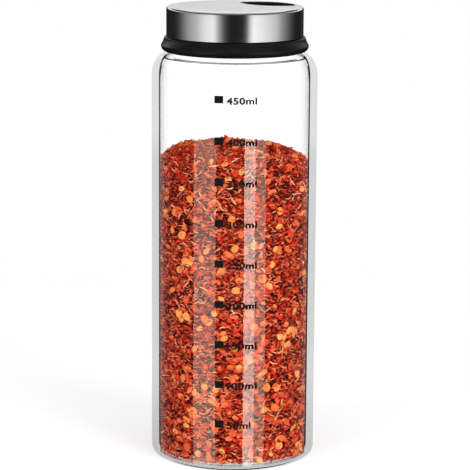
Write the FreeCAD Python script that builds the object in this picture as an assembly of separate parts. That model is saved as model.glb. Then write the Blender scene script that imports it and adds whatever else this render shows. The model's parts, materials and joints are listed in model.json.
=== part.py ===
"""A tall glass spice shaker filled with crushed dried chilli, under a swivelling dispenser lid.

Pieces, each a closed solid in its own STEP file:
  glass_jar      clear jar with a rounded shoulder, a plain neck and a shallow push-up foot
  chilli_fill    the heap of flakes up to its uneven, slightly domed top
  lid_collar     black collar that grips the neck, with a deck, one pour hole and a group of sifter holes
  lid_rotor      black plate under the steel, held to the deck by a snap hub
  lid_cap        drawn steel cap with one leaf-shaped opening; it turns with the rotor

Frame: millimetres, origin in the middle of the underside, +Z up, front towards -Y.
Steel cap and rotor turn together about Z; jar, fill and collar stay still.
"""

import FreeCAD
import Part
import math
import os

# --- Jar ----------------------------------------------------------------------------------------
JAR_DIAMETER = 68.0
WALL = 3.0
FLOOR_THICKNESS = 1.8
HEEL_RADIUS = 2.8
INNER_HEEL_RADIUS = 1.6
FOOT_LAND = 7.0  # width of the flat ring that the jar stands on
PUSH_UP = 0.5  # depth of the hollow inside that ring
SHOULDER_TOP = 168.5
SHOULDER_WALL = 1.3  # the blown shoulder is thinner than the side
SHOULDER_REACH = 7.0  # how far the outer curve comes in, and how far it drops to the straight side
SHOULDER_DROP = 10.0
SHOULDER_INNER_REACH = 3.5
NECK_DIAMETER = 48.8
NECK_WALL = 2.4
NECK_HEIGHT = 14.3  # from the shoulder's top to the rim
NECK_ROOT_RADIUS = 1.0
MOUTH_ROOT_RADIUS = 1.6
RIM_ROUND = 0.9

# --- Fill ---------------------------------------------------------------------------------------
FILL_GAP = 0.2  # between the fill's solid and the glass
FILL_EDGE_LEVEL = 126.2  # height of the heap where it meets the wall
FILL_RISE = 4.4  # how far the middle stands above that
FILL_TILT = 0.9  # how much lower the right-hand edge lies than the middle
# waves of the heap's top: height, waves across the jar, direction and phase in degrees
FILL_WAVES = ((0.5, 1.1, 0.0, 75.0), (0.4, 2.1, 80.0, -20.0), (0.3, 3.4, 20.0, 75.0))
FILL_GRID = 13  # the surface is fitted through this many points each way

# --- Lid ----------------------------------------------------------------------------------------
COLLAR_CLEARANCE = 0.3  # collar above the shoulder
COLLAR_THREAD_CLEARANCE = 0.8  # room round the neck for the thread
COLLAR_WALL = 1.9
COLLAR_LIP_OUT = 1.85  # how far the lip under the steel stands out from the collar's wall
COLLAR_LIP_HEIGHT = 0.6
COLLAR_LIP_ROUND = 0.4
COLLAR_FLARE_OUT = 1.25  # from the lip out to the widest point
COLLAR_FLARE_DROP = 2.7
COLLAR_FOOT_RADIUS = 2.4  # rounding under the widest point
COLLAR_LEAD_IN = 0.7
DECK_THICKNESS = 1.8
DECK_EDGE_ROUND = 0.5

RUNNING_GAP = 0.3  # between what turns and what stays
ROTOR_THICKNESS = 1.6
ROTOR_SIDE_GAP = 0.1  # rotor's edge inside the steel's side
ROTOR_CHAMFER = 0.9
HUB_DIAMETER = 6.0
HUB_BARB = 0.8  # how far the snap head stands out from the hub
HUB_BARB_HEIGHT = 1.2
STEEL = 0.5
CAP_SIDE_GAP = 0.4  # between the collar's wall and the steel
CAP_SKIRT = 12.0  # rounded edge and straight side, from the top down to the free edge
CAP_ROUND = 1.0
CAP_HEM_ROUND = 0.2

# --- Openings in the lid ------------------------------------------------------------------------
LEAF_LENGTH = 27.2
LEAF_OUTER_RISE = 8.5  # bulge of the edge that runs along the cap's side, from the line of the tips
LEAF_INNER_RISE = 7.3  # bulge of the edge that faces the axis
LEAF_TIP_ROUND = 1.5
LEAF_RIM_WEB = 1.5  # least steel left between the leaf and the cap's side
LEAF_AZIMUTH = 32.3  # where that is, from +X towards +Y
LEAF_TURN = 22.7  # from there to the direction that the leaf bulges in
ROTOR_INSET = 0.7  # rotor's leaf inside the steel's
POUR_INSET = 1.4  # pour hole inside the steel's leaf
POUR_SEAL = 0.7  # deck left between the pour hole and the jar's mouth
POUR_CORNER_ROUND = 1.2
SIFTER_TURN = 90.0  # from the pour hole to the sifter holes
SIFTER_DIAMETER = 3.6
SIFTER_PITCH = 5.0
# rows of sifter holes: place across the leaf, place of the first hole along it, number of holes
SIFTER_ROWS = ((-3.6, -5.0, 3), (0.6, -7.5, 3))

# --- Worked out ---------------------------------------------------------------------------------
JAR_RADIUS = JAR_DIAMETER / 2
INNER_RADIUS = JAR_RADIUS - WALL
NECK_RADIUS = NECK_DIAMETER / 2
MOUTH_RADIUS = NECK_RADIUS - NECK_WALL
RIM_Z = SHOULDER_TOP + NECK_HEIGHT
CEILING_Z = SHOULDER_TOP - SHOULDER_WALL
SHOULDER_FOOT_Z = SHOULDER_TOP - SHOULDER_DROP
COLLAR_BOTTOM = SHOULDER_TOP + COLLAR_CLEARANCE
COLLAR_BORE = NECK_RADIUS + COLLAR_THREAD_CLEARANCE
COLLAR_RADIUS = COLLAR_BORE + COLLAR_WALL
DECK_TOP = RIM_Z + DECK_THICKNESS
ROTOR_BOTTOM = DECK_TOP + RUNNING_GAP
ROTOR_TOP = ROTOR_BOTTOM + ROTOR_THICKNESS
CAP_TOP = ROTOR_TOP + STEEL
CAP_BOTTOM = CAP_TOP - CAP_SKIRT
CAP_RADIUS = COLLAR_RADIUS + CAP_SIDE_GAP + STEEL
CAP_INNER_RADIUS = CAP_RADIUS - STEEL
LIP_TOP = CAP_BOTTOM - RUNNING_GAP
LIP_RADIUS = COLLAR_RADIUS + COLLAR_LIP_OUT
UP = FreeCAD.Vector(0, 0, 1)
ORIGIN = FreeCAD.Vector(0, 0, 0)
THROUGH = 5.0  # cutters reach this far past the faces they cut


class Outline:
    """A closed half-section in radius and height, built edge by edge and revolved about Z."""

    def __init__(self, r, z):
        self.start = self.at = FreeCAD.Vector(r, 0, z)
        self.edges = []

    def line(self, r, z):
        """Straight edge to a point; nothing where the point is already there."""
        to = FreeCAD.Vector(r, 0, z)
        if (to - self.at).Length > 1e-6:
            self.edges.append(Part.makeLine(self.at, to))
            self.at = to
        return self

    def arc(self, centre_r, centre_z, radius, start, end):
        """Arc about a centre, angles in degrees from outwards to up, with a line to its start if needed."""
        def on(angle):
            turn = math.radians(angle)
            return FreeCAD.Vector(centre_r + radius * math.cos(turn), 0, centre_z + radius * math.sin(turn))

        self.line(on(start).x, on(start).z)
        to = on(end)
        self.edges.append(Part.Arc(self.at, on((start + end) / 2), to).toShape())
        self.at = to
        return self

    def bow(self, mid_r, mid_z, r, z):
        """Arc to a point by way of another point."""
        to = FreeCAD.Vector(r, 0, z)
        self.edges.append(Part.Arc(self.at, FreeCAD.Vector(mid_r, 0, mid_z), to).toShape())
        self.at = to
        return self

    def quarter(self, centre_r, centre_z, reach, rise, upwards):
        """Quarter of an upright ellipse, from its side up to its top or back down."""
        centre = FreeCAD.Vector(centre_r, 0, centre_z)
        side = centre + FreeCAD.Vector(reach, 0, 0)
        top = centre + FreeCAD.Vector(0, 0, rise)
        start, to = (side, top) if upwards else (top, side)
        self.line(start.x, start.z)
        major, minor = (top, side) if rise > reach else (side, top)
        ellipse = Part.Ellipse(major, minor, centre)
        self.edges.append(Part.ArcOfEllipse(ellipse, 0, math.pi / 2).toShape())
        self.at = to
        return self

    def revolve(self):
        """The solid of one full turn."""
        self.line(self.start.x, self.start.z)
        face = Part.Face(Part.Wire(self.edges))
        solid = face.revolve(ORIGIN, UP, 360)
        return solid if solid.Volume > 0 else solid.reversed()


def glass_jar():
    """Jar with its foot ring, heel, shoulder, neck and rounded rim."""
    reach = min(SHOULDER_REACH, JAR_RADIUS - NECK_RADIUS - NECK_ROOT_RADIUS)
    inner_reach = min(SHOULDER_INNER_REACH, INNER_RADIUS - MOUTH_RADIUS - MOUTH_ROOT_RADIUS)
    ring = JAR_RADIUS - HEEL_RADIUS - FOOT_LAND
    jar = Outline(0, PUSH_UP)
    jar.bow(ring * 0.6, PUSH_UP * 0.64, ring, 0)
    jar.arc(JAR_RADIUS - HEEL_RADIUS, HEEL_RADIUS, HEEL_RADIUS, -90, 0)
    jar.quarter(JAR_RADIUS - reach, SHOULDER_FOOT_Z, reach, SHOULDER_DROP, upwards=True)
    jar.arc(NECK_RADIUS + NECK_ROOT_RADIUS, SHOULDER_TOP + NECK_ROOT_RADIUS, NECK_ROOT_RADIUS, 270, 180)
    jar.arc(NECK_RADIUS - RIM_ROUND, RIM_Z - RIM_ROUND, RIM_ROUND, 0, 90)
    jar.arc(MOUTH_RADIUS + RIM_ROUND, RIM_Z - RIM_ROUND, RIM_ROUND, 90, 180)
    jar.arc(MOUTH_RADIUS + MOUTH_ROOT_RADIUS, CEILING_Z + MOUTH_ROOT_RADIUS, MOUTH_ROOT_RADIUS, 180, 270)
    jar.quarter(INNER_RADIUS - inner_reach, SHOULDER_FOOT_Z, inner_reach, CEILING_Z - SHOULDER_FOOT_Z,
                upwards=False)
    inner = INNER_RADIUS - INNER_HEEL_RADIUS
    jar.arc(inner, FLOOR_THICKNESS + INNER_HEEL_RADIUS, INNER_HEEL_RADIUS, 0, -90)
    jar.line(0, FLOOR_THICKNESS)
    return jar.revolve()


def heap_height(x, y):
    """Height of the fill's top: a flat dome, lower to the right, with a few waves."""
    share = (x * x + y * y) / INNER_RADIUS**2
    height = FILL_EDGE_LEVEL + FILL_RISE * (1 - share**2) - FILL_TILT * x / INNER_RADIUS
    for rise, across, direction, phase in FILL_WAVES:
        turn = math.radians(direction)
        along = (x * math.cos(turn) + y * math.sin(turn)) / (2 * INNER_RADIUS)
        height += rise * math.sin(2 * math.pi * across * along + math.radians(phase))
    return height


def chilli_fill():
    """Everything below the heap's top and inside the glass, less a small gap all round."""
    radius = INNER_RADIUS - FILL_GAP
    bottom = FLOOR_THICKNESS + FILL_GAP
    heel = INNER_HEEL_RADIUS - FILL_GAP
    above = FILL_EDGE_LEVEL + 3 * FILL_RISE
    body = Outline(0, bottom)
    body.arc(radius - heel, bottom + heel, heel, -90, 0)
    body.line(radius, above).line(0, above)
    step = 2.2 * INNER_RADIUS / (FILL_GRID - 1)
    places = [i * step - 1.1 * INNER_RADIUS for i in range(FILL_GRID)]
    surface = Part.BSplineSurface()
    surface.interpolate([[FreeCAD.Vector(x, y, heap_height(x, y)) for y in places] for x in places])
    below = surface.toShape().extrude(FreeCAD.Vector(0, 0, -2 * FILL_EDGE_LEVEL))
    return body.revolve().common(below)


def arc_radius(rise):
    """Radius of the leaf's edge that bulges by rise."""
    return ((LEAF_LENGTH / 2) ** 2 + rise**2) / (2 * rise)


def leaf_directions():
    """Unit vectors along the leaf and in the direction that it bulges."""
    turn = math.radians(LEAF_AZIMUTH + LEAF_TURN)
    across = FreeCAD.Vector(math.cos(turn), math.sin(turn), 0)
    return FreeCAD.Vector(across.y, -across.x, 0), across


def leaf_middle():
    """Point half-way between the leaf's tips, on the z=0 plane."""
    outer = arc_radius(LEAF_OUTER_RISE)
    away = CAP_RADIUS - LEAF_RIM_WEB - outer
    turn = math.radians(LEAF_AZIMUTH)
    centre = FreeCAD.Vector(away * math.cos(turn), away * math.sin(turn), 0)
    return centre + leaf_directions()[1] * (outer - LEAF_OUTER_RISE)


def round_corners(prism, radius):
    """The prism with its upright edges rounded."""
    upright = [e for e in prism.Edges if abs(e.tangentAt(e.FirstParameter).z) > 0.99]
    return prism.makeFillet(radius, upright)


def leaf(inset, low, high):
    """Leaf-shaped cutter between two heights, its edge moved inwards by inset and its tips sharp."""
    middle = leaf_middle() + UP * low
    across = leaf_directions()[1]
    outer, inner = arc_radius(LEAF_OUTER_RISE), arc_radius(LEAF_INNER_RISE)
    outer_centre = middle - across * (outer - LEAF_OUTER_RISE)
    inner_centre = middle + across * (inner - LEAF_INNER_RISE)
    far = Part.makeCylinder(outer - inset, high - low, outer_centre)
    near = Part.makeCylinder(inner - inset, high - low, inner_centre)
    return far.common(near)


def pour_hole():
    """Cutter for the deck under the leaf, kept inside the jar's mouth."""
    low, high = RIM_Z - THROUGH, DECK_TOP + THROUGH
    mouth = Part.makeCylinder(MOUTH_RADIUS - POUR_SEAL, high - low, UP * low)
    return round_corners(leaf(POUR_INSET, low, high).common(mouth), POUR_CORNER_ROUND)


def sifter_holes():
    """Round cutters in two rows, where the leaf comes after a part-turn from the pour hole."""
    along, across = leaf_directions()
    holes = []
    for offset, first, count in SIFTER_ROWS:
        for i in range(count):
            foot = leaf_middle() + across * offset + along * (first + i * SIFTER_PITCH)
            hole = Part.makeCylinder(SIFTER_DIAMETER / 2, DECK_THICKNESS + 2 * THROUGH,
                                     foot + UP * (RIM_Z - THROUGH))
            hole.rotate(ORIGIN, UP, SIFTER_TURN)
            holes.append(hole)
    return holes


def lid_collar():
    """Black collar: wall round the neck, flared foot, lip under the steel, and the deck with its holes."""
    widest = LIP_RADIUS + COLLAR_FLARE_OUT
    flare_z = LIP_TOP - COLLAR_LIP_HEIGHT - COLLAR_FLARE_DROP
    foot_centre = widest - COLLAR_FOOT_RADIUS
    bore = HUB_DIAMETER / 2 + RUNNING_GAP
    collar = Outline(bore, RIM_Z)
    collar.line(COLLAR_BORE, RIM_Z).line(COLLAR_BORE, COLLAR_BOTTOM + COLLAR_LEAD_IN)
    collar.line(COLLAR_BORE + COLLAR_LEAD_IN, COLLAR_BOTTOM)
    collar.arc(foot_centre, COLLAR_BOTTOM + COLLAR_FOOT_RADIUS, COLLAR_FOOT_RADIUS, -90, 0)
    collar.line(widest, flare_z)
    middle_z = (flare_z + LIP_TOP - COLLAR_LIP_HEIGHT) / 2
    collar.bow(LIP_RADIUS + COLLAR_FLARE_OUT * 0.4, middle_z, LIP_RADIUS, LIP_TOP - COLLAR_LIP_HEIGHT)
    collar.arc(LIP_RADIUS - COLLAR_LIP_ROUND, LIP_TOP - COLLAR_LIP_ROUND, COLLAR_LIP_ROUND, 0, 90)
    collar.line(COLLAR_RADIUS, LIP_TOP)
    collar.arc(COLLAR_RADIUS - DECK_EDGE_ROUND, DECK_TOP - DECK_EDGE_ROUND, DECK_EDGE_ROUND, 0, 90)
    collar.line(bore, DECK_TOP)
    return collar.revolve().cut([pour_hole()] + sifter_holes())


def lid_rotor():
    """Black plate pressed into the steel, with a hub whose snap head holds it under the deck."""
    hub = HUB_DIAMETER / 2
    edge = CAP_INNER_RADIUS - ROTOR_SIDE_GAP
    head_top = RIM_Z - RUNNING_GAP
    plate = Outline(0, head_top - HUB_BARB_HEIGHT)
    plate.line(hub, head_top - HUB_BARB_HEIGHT).line(hub + HUB_BARB, head_top - HUB_BARB_HEIGHT / 3)
    plate.line(hub + HUB_BARB, head_top).line(hub, head_top)
    plate.line(hub, ROTOR_BOTTOM).line(edge, ROTOR_BOTTOM)
    plate.line(edge, ROTOR_TOP - ROTOR_CHAMFER).line(edge - ROTOR_CHAMFER, ROTOR_TOP).line(0, ROTOR_TOP)
    opening = leaf(ROTOR_INSET, ROTOR_BOTTOM - RUNNING_GAP / 2, CAP_TOP + THROUGH)
    return plate.revolve().cut(round_corners(opening, LEAF_TIP_ROUND - ROTOR_INSET))


def lid_cap():
    """Steel drawn to an open cup with a rounded top edge and a dressed free edge, and its leaf cut out."""
    inner_round = CAP_ROUND - STEEL
    cap = Outline(0, CAP_TOP)
    cap.arc(CAP_RADIUS - CAP_ROUND, CAP_TOP - CAP_ROUND, CAP_ROUND, 90, 0)
    cap.arc(CAP_RADIUS - CAP_HEM_ROUND, CAP_BOTTOM + CAP_HEM_ROUND, CAP_HEM_ROUND, 0, -90)
    cap.arc(CAP_INNER_RADIUS + CAP_HEM_ROUND, CAP_BOTTOM + CAP_HEM_ROUND, CAP_HEM_ROUND, -90, -180)
    cap.arc(CAP_INNER_RADIUS - inner_round, ROTOR_TOP - inner_round, inner_round, 0, 90)
    cap.line(0, ROTOR_TOP)
    opening = leaf(0, ROTOR_TOP - THROUGH, CAP_TOP + THROUGH)
    return cap.revolve().cut(round_corners(opening, LEAF_TIP_ROUND))


def main():
    """Builds each piece, writes it to parts/NAME.step and prints its volume."""
    os.makedirs("parts", exist_ok=True)
    for build in (glass_jar, chilli_fill, lid_collar, lid_rotor, lid_cap):
        name = build.__name__
        shape = build()
        solid = shape.Solids[0] if len(shape.Solids) == 1 else shape
        print(name, "valid" if solid.isValid() else "NOT VALID", round(solid.Volume / 1000, 2), "cm3")
        solid.exportStep("parts/" + name + ".step")


main()
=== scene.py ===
"""Looks of a tall glass shaker of crushed chilli under a turning steel dispenser lid.

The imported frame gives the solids, their bodies and their places. Every piece made here stands for one
of them: the clear jar with its printed volume scale, the heap of flakes, seeds and strands behind the
glass, the black collar and rotor, and the satin steel cap with its leaf-shaped opening. Sizes are in
millimetres until a mesh is made; meshes are in metres, in the frame's own axes.
"""

import json
import logging
import random
from dataclasses import dataclass, field
from enum import Enum
from math import cos, dist, inf, pi, radians, sin, sqrt
from typing import Any, Callable, Sequence

import bmesh
import bpy
from mathutils import Matrix, Vector

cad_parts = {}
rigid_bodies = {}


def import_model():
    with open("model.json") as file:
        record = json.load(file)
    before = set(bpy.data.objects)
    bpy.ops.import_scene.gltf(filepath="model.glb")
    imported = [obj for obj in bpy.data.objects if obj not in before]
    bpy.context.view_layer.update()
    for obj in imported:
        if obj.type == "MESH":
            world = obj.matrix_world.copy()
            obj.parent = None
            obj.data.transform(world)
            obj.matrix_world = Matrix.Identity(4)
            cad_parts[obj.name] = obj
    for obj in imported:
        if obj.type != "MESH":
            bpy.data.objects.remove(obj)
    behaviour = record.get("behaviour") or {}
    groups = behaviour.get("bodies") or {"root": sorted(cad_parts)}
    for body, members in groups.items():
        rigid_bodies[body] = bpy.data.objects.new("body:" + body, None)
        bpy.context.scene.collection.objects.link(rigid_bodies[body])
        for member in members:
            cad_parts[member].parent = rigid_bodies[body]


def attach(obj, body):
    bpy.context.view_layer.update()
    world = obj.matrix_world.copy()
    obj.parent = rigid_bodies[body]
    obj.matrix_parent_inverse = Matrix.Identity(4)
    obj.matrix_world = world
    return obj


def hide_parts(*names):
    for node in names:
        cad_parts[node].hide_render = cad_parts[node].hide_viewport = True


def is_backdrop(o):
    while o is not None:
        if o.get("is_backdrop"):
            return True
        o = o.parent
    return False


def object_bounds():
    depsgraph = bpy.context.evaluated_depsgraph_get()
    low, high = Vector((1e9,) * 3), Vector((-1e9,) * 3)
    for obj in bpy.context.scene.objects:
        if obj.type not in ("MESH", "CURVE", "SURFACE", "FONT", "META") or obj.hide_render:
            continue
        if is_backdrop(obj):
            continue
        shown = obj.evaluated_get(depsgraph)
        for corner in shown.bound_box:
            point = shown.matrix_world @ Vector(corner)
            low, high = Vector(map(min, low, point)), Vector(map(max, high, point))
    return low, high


LOG = logging.getLogger("shaker")
MM = 0.001
CM = 0.01
TINY = 1e-6  # millimetres, under which two points of an outline are one
MERGE = 1e-7  # metres, under which two corners of a mesh are one
Point = tuple[float, float]
Colour = tuple[float, float, float]
CLOUDS: Point = (0.3, 0.7)  # nearly all values of a noise lie between these
Collection, Material, Mesh = bpy.types.Collection, bpy.types.Material, bpy.types.Mesh
Shape, Socket, Thing = bmesh.types.BMesh, bpy.types.NodeSocket, bpy.types.Object


class Slot(Enum):
    """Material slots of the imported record."""

    GLASS = "clear_glass"
    CHILLI = "crushed_chilli"
    BLACK = "black_plastic"
    STEEL = "satin_steel"


class Body(Enum):
    """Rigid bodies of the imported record."""

    JAR = "jar"
    CAP = "cap"


def srgb(red: int, green: int, blue: int) -> Colour:
    """Turns a colour as seen on a screen into the linear values that a shader takes.

    Args:
        red: Red from 0 to 255.
        green: Green from 0 to 255.
        blue: Blue from 0 to 255.

    Returns:
        The linear colour.
    """

    def linear(value: int) -> float:
        """One channel."""
        share = value / 255
        return share / 12.92 if share <= 0.04045 else ((share + 0.055) / 1.055) ** 2.4

    return linear(red), linear(green), linear(blue)


# ---- mesh helpers


class Outline:
    """A half-section in radius and height, in millimetres, sampled point by point."""

    def __init__(self, r: float, z: float) -> None:
        """Starts the outline at a point.

        Args:
            r: Radius of the first point.
            z: Height of the first point.
        """
        self.points: list[Point] = [(r, z)]

    def line(self, r: float, z: float, steps: int = 1) -> "Outline":
        """Goes straight to a point.

        Args:
            r: Radius of the point.
            z: Height of the point.
            steps: How many equal pieces the line is made of.

        Returns:
            The outline, for the next call.
        """
        start_r, start_z = self.points[-1]
        for i in range(1, steps + 1):
            share = i / steps
            to = (start_r + (r - start_r) * share, start_z + (z - start_z) * share)
            if dist(to, self.points[-1]) > TINY:
                self.points.append(to)
        return self

    def arc(self, centre: Point, reach: float, rise: float, start: float, end: float,
            steps: int) -> "Outline":
        """Goes along part of an upright ellipse, with a straight line to where it starts.

        Args:
            centre: Radius and height of the ellipse's centre.
            reach: Half its width.
            rise: Half its height.
            start: Angle it starts at, in degrees from outwards to up.
            end: Angle it ends at.
            steps: How many pieces the arc is made of.

        Returns:
            The outline, for the next call.
        """
        for i in range(steps + 1):
            turn = radians(start + (end - start) * i / steps)
            self.line(centre[0] + reach * cos(turn), centre[1] + rise * sin(turn))
        return self

    def bow(self, through: Point, end: Point, steps: int) -> "Outline":
        """Goes along a soft bow to a point.

        Args:
            through: Point that the bow passes half-way.
            end: Where it ends.
            steps: How many pieces it is made of.

        Returns:
            The outline, for the next call.
        """
        start = self.points[-1]
        pull = tuple(2 * t - (a + b) / 2 for t, a, b in zip(through, start, end))
        for i in range(1, steps + 1):
            u = i / steps
            r, z = ((1 - u) ** 2 * a + 2 * u * (1 - u) * p + u * u * b for a, p, b in zip(start, pull, end))
            self.line(r, z)
        return self

    def round(self, centre: Point, radius: float, start: float, end: float, steps: int = 6) -> "Outline":
        """Goes along a circle's arc; the arguments are those of arc, with one radius."""
        return self.arc(centre, radius, radius, start, end, steps)


def finished(name: str, shape: Shape, merge: bool = False, turn: bool = True) -> Mesh:
    """Makes a mesh of a shape, which it frees.

    Args:
        name: Name of the mesh.
        shape: The shape, in metres.
        merge: Whether corners that lie together become one.
        turn: Whether faces are turned outwards.

    Returns:
        The mesh.
    """
    if merge:
        bmesh.ops.remove_doubles(shape, verts=shape.verts, dist=MERGE)
    if turn:
        bmesh.ops.recalc_face_normals(shape, faces=shape.faces)
    mesh = bpy.data.meshes.new(name)
    shape.to_mesh(mesh)
    shape.free()
    return mesh


def lathe(name: str, outline: Outline, segments: int, closed: bool = True) -> Mesh:
    """Turns an outline about the Z axis into a mesh in metres.

    Args:
        name: Name of the mesh.
        outline: The half-section; points on the axis become single poles.
        segments: Facets round the axis.
        closed: Whether the last point is joined to the first.

    Returns:
        The mesh, with its faces pointing outwards.
    """
    shape = bmesh.new()
    rings: list[list[bmesh.types.BMVert]] = []
    for r, z in outline.points:
        count = 1 if r < TINY else segments
        turns = [2 * pi * i / segments for i in range(count)]
        rings.append([shape.verts.new((r * cos(t) * MM, r * sin(t) * MM, z * MM)) for t in turns])
    pairs = list(zip(rings, rings[1:]))
    if closed:
        pairs.append((rings[-1], rings[0]))
    for low, high in pairs:
        for i in range(segments):
            j = (i + 1) % segments
            corners = [low[i % len(low)], low[j % len(low)], high[j % len(high)], high[i % len(high)]]
            corners = list(dict.fromkeys(corners))
            if len(corners) > 2:
                shape.faces.new(corners)
    return finished(name, shape, merge=True)


def place(name: str, mesh: Mesh) -> Thing:
    """Links a mesh to the scene as an object at the origin."""
    thing = bpy.data.objects.new(name, mesh)
    bpy.context.scene.collection.objects.link(thing)
    return thing


def smooth(mesh: Mesh, sharp_over: float = 30.0) -> None:
    """Shades a mesh smooth, except across edges sharper than an angle in degrees."""
    mesh.shade_smooth()
    mesh.set_sharp_from_angle(angle=radians(sharp_over))


def baked(thing: Thing) -> Mesh:
    """Applies an object's modifiers to its mesh and removes them.

    Args:
        thing: The object.

    Returns:
        Its new mesh, which it also holds.
    """
    graph = bpy.context.evaluated_depsgraph_get()
    mesh = bpy.data.meshes.new_from_object(thing.evaluated_get(graph), depsgraph=graph)
    old = thing.data
    thing.modifiers.clear()
    thing.data = mesh
    mesh.name = thing.name
    if old.users == 0:
        bpy.data.meshes.remove(old)
    return mesh


def discard(thing: Thing) -> None:
    """Deletes an object and its mesh."""
    mesh = thing.data
    bpy.data.objects.remove(thing)
    bpy.data.meshes.remove(mesh)


def cut(thing: Thing, cutters: Sequence[Mesh]) -> None:
    """Cuts meshes out of an object and deletes them.

    Args:
        thing: The object that is cut.
        cutters: Closed meshes to take away.
    """
    tools = [place(f"{thing.name}_cutter_{i}", mesh) for i, mesh in enumerate(cutters)]
    for tool in tools:
        change = thing.modifiers.new("cut", "BOOLEAN")
        change.operation = "DIFFERENCE"
        change.solver = "EXACT"
        change.object = tool
    baked(thing)
    for tool in tools:
        discard(tool)


def prism(name: str, outline: Sequence[Point], low: float, high: float) -> Mesh:
    """Makes an upright prism.

    Args:
        name: Name of the mesh.
        outline: Corners in X and Y, in millimetres, in order.
        low: Height of its foot.
        high: Height of its top.

    Returns:
        The mesh, in metres.
    """
    shape = bmesh.new()
    foot, top = ([shape.verts.new((x * MM, y * MM, z * MM)) for x, y in outline] for z in (low, high))
    shape.faces.new(foot)
    shape.faces.new(top)
    for i in range(len(foot)):
        j = (i + 1) % len(foot)
        shape.faces.new((foot[i], foot[j], top[j], top[i]))
    return finished(name, shape)


# ---- shader and node trees


class Nodes:
    """A node tree that is built one node at a time."""

    def __init__(self, tree: bpy.types.NodeTree) -> None:
        """Keeps the tree."""
        self.tree = tree

    def add(self, kind: str, inputs: dict[str | int, Any] | None = None, **settings: Any) -> bpy.types.Node:
        """Adds a node.

        Args:
            kind: Blender's name of the node's type.
            inputs: Values or sockets for its inputs, by name or index.
            **settings: Properties of the node.

        Returns:
            The node.
        """
        node = self.tree.nodes.new(kind)
        for key, value in settings.items():
            setattr(node, key, value)
        for key, value in (inputs or {}).items():
            self.feed(live(node.inputs, key), value)
        return node

    def feed(self, socket: Socket, value: Any) -> None:
        """Links an input to a socket or a node's first output, or sets it to a plain value."""
        if isinstance(value, (Socket, bpy.types.Node)):
            self.tree.links.new(getattr(value, "outputs", [value])[0], socket)
        else:
            plain = socket.type == "RGBA" and len(value) == 3
            socket.default_value = (*value, 1.0) if plain else value

    def maths(self, operation: str, *values: Any) -> Socket:
        """Adds a Math node.

        Args:
            operation: Its operation.
            *values: Its inputs in order.

        Returns:
            Its output.
        """
        node = self.add("ShaderNodeMath", dict(enumerate(values)), operation=operation)
        return node.outputs[0]

    def fade(self, value: Any, start: float, end: float, low: Any = 0.0, high: Any = 1.0) -> Socket:
        """Adds a smooth step from one value to another.

        Args:
            value: What is mapped.
            start: Where the step begins.
            end: Where it ends.
            low: Result before the step.
            high: Result after it.

        Returns:
            The result's socket.
        """
        sockets = {"Value": value, "From Min": start, "From Max": end, "To Min": low, "To Max": high}
        return self.add("ShaderNodeMapRange", sockets, interpolation_type="SMOOTHSTEP").outputs[0]

    def blend(self, factor: Any, first: Any, second: Any) -> Socket:
        """Mixes two colours.

        Args:
            factor: Share of the second.
            first: First colour or socket.
            second: Second colour or socket.

        Returns:
            The mixed colour's socket.
        """
        node = self.add("ShaderNodeMix", {"Factor": factor, "A": first, "B": second}, data_type="RGBA")
        return live(node.outputs, "Result")

    def here(self) -> Socket:
        """Place on the piece, in metres."""
        return self.add("ShaderNodeTexCoord").outputs["Object"]

    def noise(self, at: Any, scale: Any, detail: float = 2.0) -> Socket:
        """Soft noise from 0 to 1 at a place, as fine as scale, per metre."""
        return self.add("ShaderNodeTexNoise", {"Vector": at, "Scale": scale, "Detail": detail}).outputs[0]

    def bump(self, height: Any, strength: float, distance: float) -> Socket:
        """Normal of a surface with a relief as high as distance, in millimetres."""
        return self.add("ShaderNodeBump", {
            "Strength": strength, "Distance": distance * MM, "Height": height}).outputs[0]

    def split(self, vector: Any) -> Sequence[Socket]:
        """The three parts of a vector."""
        return self.add("ShaderNodeSeparateXYZ", {0: vector}).outputs

    def vector(self, x: Any = 0.0, y: Any = 0.0, z: Any = 0.0) -> Socket:
        """A vector from its three parts."""
        return self.add("ShaderNodeCombineXYZ", {0: x, 1: y, 2: z}).outputs[0]

    def times(self, first: Any, second: Any) -> Socket:
        """Product of two numbers."""
        return self.maths("MULTIPLY", first, second)

    def plus(self, first: Any, second: Any) -> Socket:
        """Sum of two numbers."""
        return self.maths("ADD", first, second)

    def minus(self, first: Any, second: Any) -> Socket:
        """First number less the second."""
        return self.maths("SUBTRACT", first, second)

    def most(self, first: Any, second: Any) -> Socket:
        """Larger of two numbers."""
        return self.maths("MAXIMUM", first, second)

    def radius(self, x: Any, y: Any) -> Socket:
        """Distance from the axis."""
        return self.maths("SQRT", self.plus(self.times(x, x), self.times(y, y)))


def live(sockets: Sequence[Socket], key: str | int) -> Socket:
    """Finds the socket that a node's present settings use.

    Args:
        sockets: The node's inputs or outputs.
        key: The socket's name or index.

    Returns:
        The socket.
    """
    if isinstance(key, int):
        return sockets[key]
    return next(s for s in sockets if s.name == key and s.enabled)


def new_material(name: str) -> tuple[Material, Nodes, Socket]:
    """Makes an empty node material.

    Args:
        name: Its name.

    Returns:
        The material, its tree, and the output's surface socket.
    """
    material = bpy.data.materials.new(name)
    material.use_nodes = True
    material.node_tree.nodes.clear()
    nodes = Nodes(material.node_tree)
    output = nodes.add("ShaderNodeOutputMaterial")
    return material, nodes, output.inputs["Surface"]


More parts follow.
